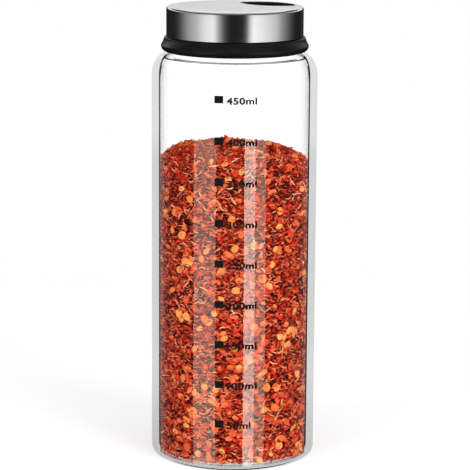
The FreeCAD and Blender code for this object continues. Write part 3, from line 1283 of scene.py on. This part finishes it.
    def scatter_tree(self) -> GeometryTree:
        """Builds the tree that lays bits against the glass and over the heap.

        Returns:
            The tree.
        """
        tree = GeometryTree(
            "loose_bits", "density depth tilt spin smallest largest wall floor heel patch uneven "
            "stand sinking",
            shapes="Collection", seed="Int")
        given = tree.given
        seeds = {i: tree.plus(given["seed"], i) for i in range(1, 6)}
        spots = tree.add("GeometryNodeDistributePointsOnFaces", {
            "Mesh": given["Geometry"], "Density": self.local_density(tree), "Seed": given["seed"]})
        points, normal, turned = (spots.outputs[key] for key in ("Points", "Normal", "Rotation"))
        rising = tree.split(normal)[2]
        sunk = tree.moved(points, normal, tree.times(tree.random(0.0, given["depth"], seeds[1]), -1.0))
        lean, roll, spin = (tree.fade(rising, *self.top_span, low, high) for low, high in (
            (given["tilt"], given["stand"]), (self.roll, given["stand"]), (given["spin"], pi)))
        least = tree.vector(tree.times(lean, -1.0), tree.times(roll, -1.0))
        tipped = tree.random(least, tree.vector(lean, roll), seeds[2], "FLOAT_VECTOR")
        around = tree.random(tree.times(spin, -1.0), spin, seeds[5])
        for angles in (tipped, tree.vector(z=around)):
            by = tree.add("FunctionNodeEulerToRotation", {0: angles})
            turned = tree.add("FunctionNodeRotateRotation", {
                "Rotation": turned, "Rotate By": by}, rotation_space="LOCAL").outputs[0]
        made = tree.add("GeometryNodeCollectionInfo", {
            "Collection": given["shapes"], "Separate Children": True, "Reset Children": True})
        bits = tree.add("GeometryNodeInstanceOnPoints", {
            "Points": sunk, "Instance": made, "Pick Instance": True, "Rotation": turned,
            "Scale": tree.random(given["smallest"], given["largest"], seeds[3])})
        toned = tree.add("GeometryNodeStoreNamedAttribute", {
            "Geometry": bits, "Name": "tone", "Value": tree.random(0.0, 1.0, seeds[4])},
            domain="INSTANCE")
        real = tree.add("GeometryNodeRealizeInstances", {0: toned})
        inside = tree.add("GeometryNodeSetPosition", {
            "Geometry": real, "Position": self.kept_inside(tree)})
        tree.finish(inside)
        return tree

    def local_density(self, tree: GeometryTree) -> Socket:
        """Density of the bits at a place: patchy, with more of some low down and fewer under the fill.

        Args:
            tree: The scatter's tree.

        Returns:
            The density.
        """
        at = tree.add("GeometryNodeInputPosition").outputs[0]
        facing = tree.add("GeometryNodeInputNormal").outputs[0]
        aside = tree.add("ShaderNodeVectorMath", {0: at, 1: tree.times(tree.given["seed"], self.patch_step)},
                         operation="ADD")
        cloud = tree.noise(aside, tree.given["patch"])
        more = tree.times(tree.fade(cloud, *self.patch_span, -1.0, 1.0), tree.given["uneven"])
        ends = (z * MM for z in self.sinking_heights)
        lower = tree.times(tree.fade(tree.split(at)[2], *ends, 1.0, -1.0), tree.given["sinking"])
        density = tree.given["density"]
        for change in (more, lower):
            density = tree.times(density, tree.plus(change, 1.0))
        under = tree.fade(tree.split(facing)[2], *self.under_span, self.under_share, 1.0)
        return tree.times(density, under)

    def kept_inside(self, tree: GeometryTree) -> Socket:
        """Place of a bit's corner, drawn back to the glass and lifted off the floor and the heel.

        Args:
            tree: The scatter's tree.

        Returns:
            The place.
        """
        wall, heel = tree.given["wall"], tree.given["heel"]
        x, y, z = tree.split(tree.add("GeometryNodeInputPosition").outputs[0])
        radius = tree.radius(x, y)
        tone = tree.add("GeometryNodeInputNamedAttribute", {"Name": "tone"}).outputs["Attribute"]
        limit = tree.minus(wall, tree.times(tone, self.wall_spread * MM))
        pull = tree.maths("MINIMUM", tree.maths("DIVIDE", limit, radius), 1.0)
        into = tree.most(tree.minus(tree.plus(radius, heel), wall), 0.0)
        drop = tree.most(tree.minus(tree.times(heel, heel), tree.times(into, into)), 0.0)
        bowl = tree.minus(heel, tree.maths("SQRT", drop))
        base = tree.plus(tree.plus(tree.given["floor"], bowl), tree.times(tone, self.floor_spread * MM))
        return tree.vector(tree.times(x, pull), tree.times(y, pull), tree.most(z, base))

    def build(self) -> list[Thing]:
        """Makes the core and one piece for each kind of bit.

        Returns:
            The pieces.
        """
        pieces = [self.core()]
        tree = self.scatter_tree()
        shared = ("seed", "tilt", "spin", "smallest", "largest", "patch", "uneven", "stand", "sinking")
        for kind in self.kinds():
            rng = random.Random(kind.seed)
            made = bpy.data.collections.new(f"{kind.name}_shapes")
            for i in range(kind.shapes):
                shape_name = f"{kind.name}_{i:02d}"
                made.objects.link(bpy.data.objects.new(shape_name, kind.shape(rng, shape_name)))
            thing = place(kind.name, self.body(kind.name, self.bit_depth, *self.bit_facets))
            tree.run(thing, shapes=made, density=kind.per_square_cm / CM**2, depth=kind.depth * MM,
                     wall=self.reach * MM, floor=(self.jar.floor + self.floor_gap) * MM,
                     heel=self.jar.inner_heel * MM, material=kind.finish.build(),
                     **{name: getattr(kind, name) for name in shared})
            for shape in list(made.objects):
                discard(shape)
            bpy.data.collections.remove(made)
            if isinstance(kind.shape, (Seed, Strand)):
                smooth(thing.data, 70.0)
            pieces.append(thing)
        return pieces


# ---- the lid


@dataclass
class Leaf:
    """The leaf-shaped opening: two circles' arcs that meet in rounded tips."""

    length: float = 27.2
    outer_rise: float = 8.5
    inner_rise: float = 7.3
    rim_web: float = 1.5
    azimuth: float = 32.3
    turn: float = 22.7
    tip_round: float = 1.5
    cap_radius: float = 28.0

    def circles(self) -> tuple[tuple[Vector, float], tuple[Vector, float]]:
        """Centre and radius of the circle along the cap's side, and of the one that faces the axis."""
        half = self.length / 2
        outer, inner = ((half**2 + rise**2) / (2 * rise) for rise in (self.outer_rise, self.inner_rise))
        away = self.cap_radius - self.rim_web - outer
        place_turn, lean = radians(self.azimuth), radians(self.azimuth + self.turn)
        across = Vector((cos(lean), sin(lean)))
        far = Vector((cos(place_turn), sin(place_turn))) * away
        near = far + across * (outer - self.outer_rise + inner - self.inner_rise)
        return (far, outer), (near, inner)

    def outline(self, inset: float, tip: float, within: float = inf, steps: int = 160) -> list[Point]:
        """Corners of the leaf with its edge moved inwards.

        Args:
            inset: How far inwards.
            tip: Radius that its corners are rounded to.
            within: Radius round the axis that it stays inside.
            steps: Number of corners.

        Returns:
            The corners, in order.
        """
        (far, outer), (near, inner) = self.circles()
        rounds = [(far, outer - inset - tip), (near, inner - inset - tip), (Vector((0, 0)), within - tip)]
        middle = (far + near) / 2 + (far - near).normalized()
        if within < inf:
            middle = middle * min(1.0, (within - tip) * 0.75 / middle.length)
        points = []
        for i in range(steps):
            turn = 2 * pi * i / steps
            ray = Vector((cos(turn), sin(turn)))
            reach = min(self.along(middle, ray, c, r) for c, r in rounds if r < inf)
            points.append(middle + ray * reach)
        return [tuple(p) for p in self.swollen(points, tip)]

    @staticmethod
    def along(start: Vector, ray: Vector, centre: Vector, radius: float) -> float:
        """Distance from a point inside a circle to the circle along a ray."""
        to = start - centre
        b = to.dot(ray)
        return -b + sqrt(max(b * b - to.dot(to) + radius * radius, 0.0))

    @staticmethod
    def swollen(points: list[Vector], tip: float, facet: float = 0.15) -> list[Vector]:
        """Moves a closed outline outwards by tip, with an arc round each corner."""
        out = []
        count = len(points)
        for i, point in enumerate(points):
            before, after = points[i - 1], points[(i + 1) % count]
            normals = []
            for a, b in ((before, point), (point, after)):
                edge = (b - a).normalized()
                normals.append(Vector((edge.y, -edge.x)))
            bend = normals[0].angle(normals[1], 0.0)
            steps = max(1, int(bend / facet))
            for k in range(steps + 1 if steps > 1 else 1):
                share = k / steps if steps > 1 else 0.5
                out.append(point + normals[0].lerp(normals[1], share).normalized() * tip)
        return out


@dataclass
class Lid:
    """Dispenser lid: black collar with its deck, black rotor on a snap hub, and the steel cap."""

    rim_z: float = 182.8
    collar_bottom: float = 168.8
    bore: float = 25.2
    wall: float = 1.9
    lip_out: float = 1.85
    lip_height: float = 0.6
    lip_round: float = 0.4
    flare_out: float = 1.25
    flare_drop: float = 2.7
    foot_radius: float = 2.4
    lead_in: float = 0.7
    deck: float = 1.8
    deck_round: float = 0.5
    gap: float = 0.3
    rotor: float = 1.6
    rotor_side_gap: float = 0.1
    rotor_chamfer: float = 0.9
    hub: float = 3.0
    barb: float = 0.8
    barb_height: float = 1.2
    steel: float = 0.5
    cap_bottom: float = 175.0
    cap_radius: float = 28.0
    cap_round: float = 1.0
    hem: float = 0.2
    rotor_inset: float = 0.7
    pour_inset: float = 1.4
    pour_within: float = 21.3
    pour_round: float = 1.2
    sifter_turn: float = 90.0
    sifter_radius: float = 1.8
    sifter_pitch: float = 5.0
    sifter_rows: tuple[tuple[float, float, int], ...] = ((-3.6, -5.0, 3), (0.6, -7.5, 3))
    leaf: Leaf = field(default_factory=Leaf)
    edge_round: float = 0.12  # of the opening's edge in the steel
    through: float = 5.0  # how far the deck's cutters stand out of it
    cap_through: float = 3.0  # the same under the steel
    above: float = 200.0  # top of the cutters that are open upwards
    hole_facets: int = 40
    segments: int = 192

    @property
    def deck_top(self) -> float:
        """Height of the deck's top."""
        return self.rim_z + self.deck

    @property
    def rotor_top(self) -> float:
        """Height of the rotor's top, where the steel lies."""
        return self.deck_top + self.gap + self.rotor

    def collar(self, material: Material) -> Thing:
        """Makes the collar with its pour hole and sifter holes.

        Args:
            material: Black plastic.

        Returns:
            The piece.
        """
        lip_top, outer = self.cap_bottom - self.gap, self.bore + self.wall
        lip = outer + self.lip_out
        widest, flare_top = lip + self.flare_out, lip_top - self.lip_height
        form = Outline(self.hub + self.gap, self.rim_z)
        form.line(self.bore, self.rim_z).line(self.bore, self.collar_bottom + self.lead_in)
        form.line(self.bore + self.lead_in, self.collar_bottom)
        foot = (widest - self.foot_radius, self.collar_bottom + self.foot_radius)
        form.round(foot, self.foot_radius, -90, 0, 10)
        form.line(widest, flare_top - self.flare_drop)
        form.bow((lip + self.flare_out * 0.4, flare_top - self.flare_drop / 2), (lip, flare_top), 10)
        form.round((lip - self.lip_round, lip_top - self.lip_round), self.lip_round, 0, 90, 5)
        form.line(outer, lip_top)
        form.round((outer - self.deck_round, self.deck_top - self.deck_round), self.deck_round, 0, 90, 5)
        form.line(self.hub + self.gap, self.deck_top)
        thing = place("collar", lathe("collar", form, self.segments))
        low, high = self.rim_z - self.through, self.deck_top + self.through
        pour = self.leaf.outline(self.pour_inset, self.pour_round, self.pour_within)
        cutters = [prism("pour", pour, low, high)]
        (far, outer_r), _ = self.leaf.circles()
        lean = radians(self.leaf.azimuth + self.leaf.turn)
        across = Vector((cos(lean), sin(lean)))
        along = Vector((across.y, -across.x))
        middle = far + across * (outer_r - self.leaf.outer_rise)
        turned = Matrix.Rotation(radians(self.sifter_turn), 2)
        for offset, first, count in self.sifter_rows:
            for i in range(count):
                spot = turned @ (middle + across * offset + along * (first + i * self.sifter_pitch))
                ring = [(spot.x + self.sifter_radius * cos(t), spot.y + self.sifter_radius * sin(t))
                        for t in (2 * pi * k / self.hole_facets for k in range(self.hole_facets))]
                cutters.append(prism("hole", ring, low, high))
        cut(thing, cutters)
        smooth(thing.data)
        thing.data.materials.append(material)
        return thing

    def turning_plate(self, material: Material) -> Thing:
        """Makes the rotor with its snap hub.

        Args:
            material: Black plastic.

        Returns:
            The piece.
        """
        edge = self.cap_radius - self.steel - self.rotor_side_gap
        head_top, bottom = self.rim_z - self.gap, self.deck_top + self.gap
        form = Outline(0.0, head_top - self.barb_height)
        form.line(self.hub, head_top - self.barb_height)
        form.line(self.hub + self.barb, head_top - self.barb_height / 3)
        form.line(self.hub + self.barb, head_top).line(self.hub, head_top)
        form.line(self.hub, bottom).line(edge, bottom).line(edge, self.rotor_top - self.rotor_chamfer)
        form.line(edge - self.rotor_chamfer, self.rotor_top).line(0.0, self.rotor_top)
        thing = place("rotor", lathe("rotor", form, self.segments, closed=False))
        tip = self.leaf.tip_round - self.rotor_inset
        window = self.leaf.outline(self.rotor_inset, tip)
        cut(thing, [prism("leaf", window, bottom - self.gap / 2, self.above)])
        smooth(thing.data)
        thing.data.materials.append(material)
        return thing

    def cap(self, material: Material) -> Thing:
        """Makes the drawn steel cap with its opening, whose edge is dressed to a small round.

        Args:
            material: Satin steel.

        Returns:
            The piece.
        """
        top, radius = self.rotor_top + self.steel, self.cap_radius
        inner, inner_round = radius - self.steel, self.cap_round - self.steel
        form = Outline(0.0, top)
        form.line(radius - self.cap_round, top, 3)
        form.round((radius - self.cap_round, top - self.cap_round), self.cap_round, 90, 0, 12)
        form.round((radius - self.hem, self.cap_bottom + self.hem), self.hem, 0, -90, 5)
        form.round((inner + self.hem, self.cap_bottom + self.hem), self.hem, -90, -180, 5)
        form.round((inner - inner_round, self.rotor_top - inner_round), inner_round, 0, 90)
        form.line(0.0, self.rotor_top)
        thing = place("steel_cap", lathe("steel_cap", form, self.segments, closed=False))
        opening = self.leaf.outline(0.0, self.leaf.tip_round)
        cut(thing, [prism("leaf", opening, self.rotor_top - self.cap_through, self.above)])
        edge = thing.modifiers.new("edge", "BEVEL")
        edge.width = self.edge_round * MM
        edge.segments = 3
        edge.limit_method = "ANGLE"
        edge.angle_limit = radians(50)
        baked(thing)
        smooth(thing.data, 40.0)
        thing.data.materials.append(material)
        thing.data.materials.append(OPENING_SHADE.build())
        # the walls of the opening take the painted shade
        for face in thing.data.polygons:
            inside = face.center.xy.length < (radius - self.cap_round) * MM
            face.material_index = int(inside and abs(face.normal.z) < 0.6)
        return thing


# ---- the studio


def sheet_of_light(name: str, mesh: Mesh, seen_by: Collection,
                   colour: Callable[[Nodes], Any], strength: float) -> None:
    """Stages a sheet that adds its light to what is behind it, seen only by the gloss of some pieces.

    Args:
        name: Its name.
        mesh: Its mesh.
        seen_by: The pieces.
        colour: Makes the colour of its light in a tree.
        strength: Its brightness.
    """
    material, nodes, surface = new_material(name)
    glow = nodes.add("ShaderNodeEmission", {"Color": colour(nodes), "Strength": strength})
    clear = nodes.add("ShaderNodeBsdfTransparent")
    both = nodes.add("ShaderNodeAddShader", {0: glow, 1: clear})
    nodes.feed(surface, both)
    mesh.materials.append(material)
    sheet = place(name, mesh)
    for ray in ("camera", "diffuse", "transmission", "volume_scatter", "shadow"):
        setattr(sheet, f"visible_{ray}", False)
    sheet.light_linking.receiver_collection = seen_by
    sheet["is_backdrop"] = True


@dataclass
class LightSheet:
    """A curved sheet of light round the part, seen only in gloss, and only by one group of pieces.

    Its profile is a row of azimuths, in degrees from the front and positive to the right, each with
    the sheet's brightness there.
    """

    name: str
    seen_by: Collection
    profile: tuple[Point, ...]
    strength: float = 1.0
    radius: float = 1000.0
    low: float = -700.0
    high: float = 900.0
    tint: Colour = (1.0, 1.0, 1.0)

    def colour(self, nodes: Nodes) -> Socket:
        """Colour of the light by azimuth, with the brightest stop at full."""
        x, y, _ = nodes.split(nodes.here())
        turn = nodes.maths("ARCTAN2", x, nodes.times(y, -1.0))
        ramp = nodes.add("ShaderNodeValToRGB", {0: nodes.plus(nodes.times(turn, 0.5 / pi), 0.5)})
        stops = ramp.color_ramp.elements
        while len(stops) > 1:
            stops.remove(stops[0])
        for i, (azimuth, level) in enumerate(self.profile):
            stop = stops[0] if i == 0 else stops.new(azimuth / 360 + 0.5)
            stop.position = azimuth / 360 + 0.5
            stop.color = (*(level / self.tallest * c for c in self.tint), 1.0)
        return ramp.outputs[0]

    @property
    def tallest(self) -> float:
        """Brightness of the brightest stop."""
        return max(level for _, level in self.profile)

    def build(self) -> None:
        """Makes the sheet."""
        start, end = self.profile[0][0], self.profile[-1][0]
        steps = max(4, int((end - start) / 5))
        turns = [radians(start + (end - start) * i / steps) for i in range(steps + 1)]
        shape = bmesh.new()
        rows = [[shape.verts.new((self.radius * sin(t) * MM, -self.radius * cos(t) * MM, z * MM))
                 for t in turns] for z in (self.low, self.high)]
        for i in range(steps):
            shape.faces.new((rows[0][i], rows[1][i], rows[1][i + 1], rows[0][i + 1]))
        mesh = finished(self.name, shape, turn=False)
        sheet_of_light(self.name, mesh, self.seen_by, self.colour, self.strength * self.tallest)


@dataclass
class CeilingLight:
    """A round sheet of light overhead or behind, seen only in gloss by one group of pieces."""

    name: str
    seen_by: Collection
    strength: float
    spot: tuple[float, float, float]
    radius: float
    tilt: float = 0.0

    def build(self) -> None:
        """Makes the sheet."""
        disc = lathe(self.name, Outline(0.0, 0.0).line(self.radius, 0.0), 48, closed=False)
        disc.transform(Matrix.Translation(Vector(self.spot) * MM)
                       @ Matrix.Rotation(radians(self.tilt), 4, "X"))
        sheet_of_light(self.name, disc, self.seen_by, lambda nodes: (1.0, 1.0, 1.0), self.strength)


@dataclass
class Studio:
    """Pale floor, white surroundings, soft lamps, sheets of light for the gloss, and the camera."""

    floor_radius: float = 2600.0
    camera_distance: float = 902.0
    camera_height: float = 272.0
    camera_pitch: float = 11.26
    camera_roll: float = 0.35
    lens: float = 169.7
    shift: tuple[float, float] = (0.0028, -0.0016)
    world_fill: float = 0.5
    seen_through: float = 1.3  # makes up for what four faces of glass take away
    wall_turn: float = 0.1
    deep_turn: float = 0.03
    floor_lift: float = 0.5  # share of plain white near the part; it is all white further away
    floor_fade: Point = (0.06, 0.4)  # metres from the axis between which it turns white
    floor_greys: Point = (0.76, 0.78)
    world_gloss: float = 0.012
    aim: float = 0.09  # height in metres that the lamps point at

    def level_through(self, nodes: Nodes, path: Any) -> Socket:
        """How bright the surroundings are to a ray that comes out of the glass.

        Args:
            nodes: The tree that asks.
            path: Outputs of its Light Path node.

        Returns:
            White for a ray that went straight through, grey for one turned round inside the wall, and
            dim for one that left the gloss of the contents.
        """
        turned = nodes.maths("GREATER_THAN", path["Glossy Depth"], 0.5)
        deep = nodes.maths("GREATER_THAN", path["Transmission Depth"], 3.5)
        lost = nodes.plus(nodes.times(deep, self.wall_turn - self.deep_turn),
                          self.seen_through - self.wall_turn)
        return nodes.minus(self.seen_through, nodes.times(turned, lost))

    def floor(self) -> None:
        """Lays the floor, which keeps the part's shadow and stays out of the gloss."""
        disc = Outline(0.0, 0.0).line(self.floor_radius, 0.0, 4)
        thing = place("floor", lathe("floor", disc, 96, closed=False))
        if thing.data.polygons[0].normal.z < 0:
            thing.data.flip_normals()
        material, nodes, surface = new_material("pale_floor")
        here = nodes.here()
        x, y, _ = nodes.split(here)
        path = nodes.add("ShaderNodeLightPath").outputs
        camera, through = path["Is Camera Ray"], path["Is Transmission Ray"]
        lift = nodes.fade(nodes.radius(x, y), *self.floor_fade, self.floor_lift, 1.0)
        colour = nodes.blend(nodes.noise(here, 3.0), *(3 * (grey,) for grey in self.floor_greys))
        matt = nodes.add("ShaderNodeBsdfDiffuse", {"Color": colour})
        level = self.level_through(nodes, path)
        glow = nodes.add("ShaderNodeEmission", {"Strength": nodes.most(nodes.times(through, level), camera)})
        both = nodes.add("ShaderNodeMixShader", {
            0: nodes.times(nodes.most(camera, through), lift), 1: matt, 2: glow})
        dim = nodes.add("ShaderNodeEmission", {"Strength": level})
        bounced = nodes.times(through, nodes.maths("GREATER_THAN", path["Glossy Depth"], 0.5))
        mix = nodes.add("ShaderNodeMixShader", {0: bounced, 1: both, 2: dim})
        nodes.feed(surface, mix)
        thing.data.materials.append(material)
        thing.visible_glossy = False
        thing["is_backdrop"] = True

    def world(self) -> None:
        """Makes the surroundings: white to look at and through glass, softer as light, dark in gloss."""
        world = bpy.data.worlds.new("studio")
        bpy.context.scene.world = world
        world.use_nodes = True
        world.node_tree.nodes.clear()
        nodes = Nodes(world.node_tree)
        path = nodes.add("ShaderNodeLightPath").outputs
        through = nodes.times(path["Is Transmission Ray"], self.level_through(nodes, path))
        gloss = nodes.times(path["Is Glossy Ray"], self.world_gloss)
        soft = nodes.times(path["Is Diffuse Ray"], self.world_fill)
        level = nodes.most(nodes.most(path["Is Camera Ray"], through), nodes.plus(gloss, soft))
        back = nodes.add("ShaderNodeBackground", {"Color": (1.0, 1.0, 1.0), "Strength": level})
        output = nodes.add("ShaderNodeOutputWorld")
        nodes.feed(output.inputs["Surface"], back)

    def lamp(self, name: str, azimuth: float, elevation: float, distance: float,
             size: tuple[float, float], power: float) -> None:
        """Hangs a soft lamp that points at the part's middle.

        Args:
            name: Its name.
            azimuth: Degrees from the front, positive to the right.
            elevation: Degrees above the floor.
            distance: Distance in metres.
            size: Width and height in metres.
            power: Power in watts.
        """
        data = bpy.data.lights.new(name, "AREA")
        data.shape = "RECTANGLE"
        data.size, data.size_y = size
        data.energy = power
        lamp = bpy.data.objects.new(name, data)
        bpy.context.scene.collection.objects.link(lamp)
        turn, up = radians(azimuth), radians(elevation)
        aim = Vector((0, 0, self.aim))
        lamp.location = aim + distance * Vector((
            cos(up) * sin(turn), -cos(up) * cos(turn), sin(up)))
        lamp.rotation_euler = (aim - lamp.location).to_track_quat("-Z", "Y").to_euler()
        lamp.visible_glossy = False
        lamp.visible_transmission = False
        lamp.visible_camera = False

    def lights(self, lid: Collection, glass: Collection) -> None:
        """Sets the lamps and the sheets of light.

        Args:
            lid: Pieces that see the lid's sheets.
            glass: Pieces that see the glass's sheets.
        """
        self.lamp("lamp_left", -48, 24, 1.1, (0.5, 0.9), 8.2)
        self.lamp("lamp_right", 42, 20, 1.1, (0.5, 0.9), 13.6)
        self.lamp("lamp_top", 10, 80, 1.0, (0.8, 0.8), 7.0)
        wrap = ((-180, 0.004), (-156, 0.006), (-119, 0.01), (-107, 0.055), (-96, 0.2), (-82, 0.48),
                (-69, 0.67), (-61, 0.88), (-50, 1.18), (-35, 1.37), (-29, 0.74), (-25, 0.44),
                (-18.6, 0.12), (-12, 0.03), (-8, 0.012), (0, 0.008), (8, 0.012), (15, 0.03), (20, 0.22),
                (25, 0.95), (31, 1.5), (40, 1.33), (54, 1.12), (61, 1.01), (74, 0.8), (82, 0.46),
                (96, 0.19), (107, 0.07), (119, 0.012), (134, 0.004), (156, 0.03), (180, 0.004))
        sheets = [
            LightSheet("lid_wrap", lid, wrap, high=190),
            LightSheet("lid_back_left", lid, ((-180, 1.0), (-120, 1.0), (-70, 0.4)), 1.12, low=300, high=560),
            LightSheet("lid_back_right", lid, ((70, 0.4), (120, 1.0), (180, 1.0)), 1.12, low=300, high=560),
            CeilingLight("lid_back_high", lid, 1.68, (0, 900, 1000), 420, -50),
            LightSheet("lid_front_high", lid, ((-70, 1.0), (0, 0.5), (70, 1.0)), 0.3, low=300, high=560),
            CeilingLight("lid_ceiling", lid, 0.55, (0, 0, 1500), 1500),
            LightSheet("glass_left", glass, ((-56.5, 1.0), (-24.3, 1.0)), 3.0, tint=(1.0, 0.98, 0.8)),
            LightSheet("glass_right", glass, ((14, 1.0), (29.2, 1.0)), 8.6, tint=(1.0, 0.98, 0.88)),
            LightSheet("glass_right_dim", glass, ((29.2, 1.0), (44.5, 1.0)), 3.2, tint=(1.0, 0.98, 0.78)),
            LightSheet("glass_left_rim", glass, ((-136, 1.0), (-122, 1.0), (-104, 0.0)), 0.6),
            LightSheet("glass_right_rim", glass, ((104, 0.0), (122, 1.0), (136, 1.0)), 0.3),
        ]
        for sheet in sheets:
            sheet.build()

    def camera(self) -> None:
        """Sets the camera."""
        data = bpy.data.cameras.new("camera")
        data.lens = self.lens
        data.sensor_width = 36.0
        data.shift_x, data.shift_y = self.shift
        data.clip_start, data.clip_end = 0.01, 20.0
        eye = bpy.data.objects.new("camera", data)
        bpy.context.scene.collection.objects.link(eye)
        eye.location = Vector((0, -self.camera_distance, self.camera_height)) * MM
        level = Matrix.Rotation(radians(90 - self.camera_pitch), 4, "X")
        eye.rotation_euler = (level @ Matrix.Rotation(radians(self.camera_roll), 4, "Z")).to_euler()
        bpy.context.scene.camera = eye

    def build(self, lid: Collection, glass: Collection) -> None:
        """Builds the studio; the arguments are those of lights."""
        self.floor()
        self.world()
        self.lights(lid, glass)
        self.camera()
        bpy.context.scene.view_settings.view_transform = "Standard"


# ---- main


def declare(pieces: Sequence[Thing], body: Body, slot: Slot, node: str) -> None:
    """Puts each piece on the body it rides on and hides the solid that it stands for.

    Args:
        pieces: The pieces.
        body: Body that they ride on.
        slot: Their material slot; not used.
        node: The solid that they replace.
    """
    for piece in pieces:
        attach(piece, body.value)
        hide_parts(node)
        triangles = sum(len(p.vertices) - 2 for p in piece.data.polygons)
        LOG.info("%s: %d triangles, on %s, for %s", piece.name, triangles, body.value, node)


def group(name: str, pieces: Sequence[Thing]) -> Collection:
    """Gathers pieces in a collection that lights can be linked to."""
    gathered = bpy.data.collections.new(name)
    for piece in pieces:
        gathered.objects.link(piece)
    return gathered


def corners(box: Any) -> list[list[float]]:
    """Turns a box of two corners into plain lists."""
    return [[float(c) for c in corner] for corner in box]


def main() -> None:
    """Loads the frame, builds every piece in order, sets the studio and notes the sizes."""
    logging.basicConfig(level=logging.INFO, format="%(name)s: %(message)s")
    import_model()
    solid_box = corners(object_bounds())

    jar = Jar()
    glass = jar.build()
    declare(glass, Body.JAR, Slot.GLASS, "glass_jar")
    print_pieces = VolumeScale(jar).build()
    declare(print_pieces, Body.JAR, Slot.BLACK, "glass_jar")

    fill = ChilliFill(jar).build()
    declare(fill, Body.JAR, Slot.CHILLI, "chilli_fill")

    lid = Lid()
    black = BlackPlastic().build()
    collar = lid.collar(black)
    rotor = lid.turning_plate(black)
    cap = lid.cap(SatinSteel().build())
    declare([collar], Body.JAR, Slot.BLACK, "lid_collar")
    declare([rotor], Body.CAP, Slot.BLACK, "lid_rotor")
    declare([cap], Body.CAP, Slot.STEEL, "lid_cap")

    Studio().build(group("seen_by_lid", [collar, rotor, cap]), group("seen_by_glass", glass))

    boxes = {"solid": solid_box, "visual": corners(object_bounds())}
    LOG.info("solid box %s, visual box %s", boxes["solid"], boxes["visual"])


if __name__ == "__main__":
    main()
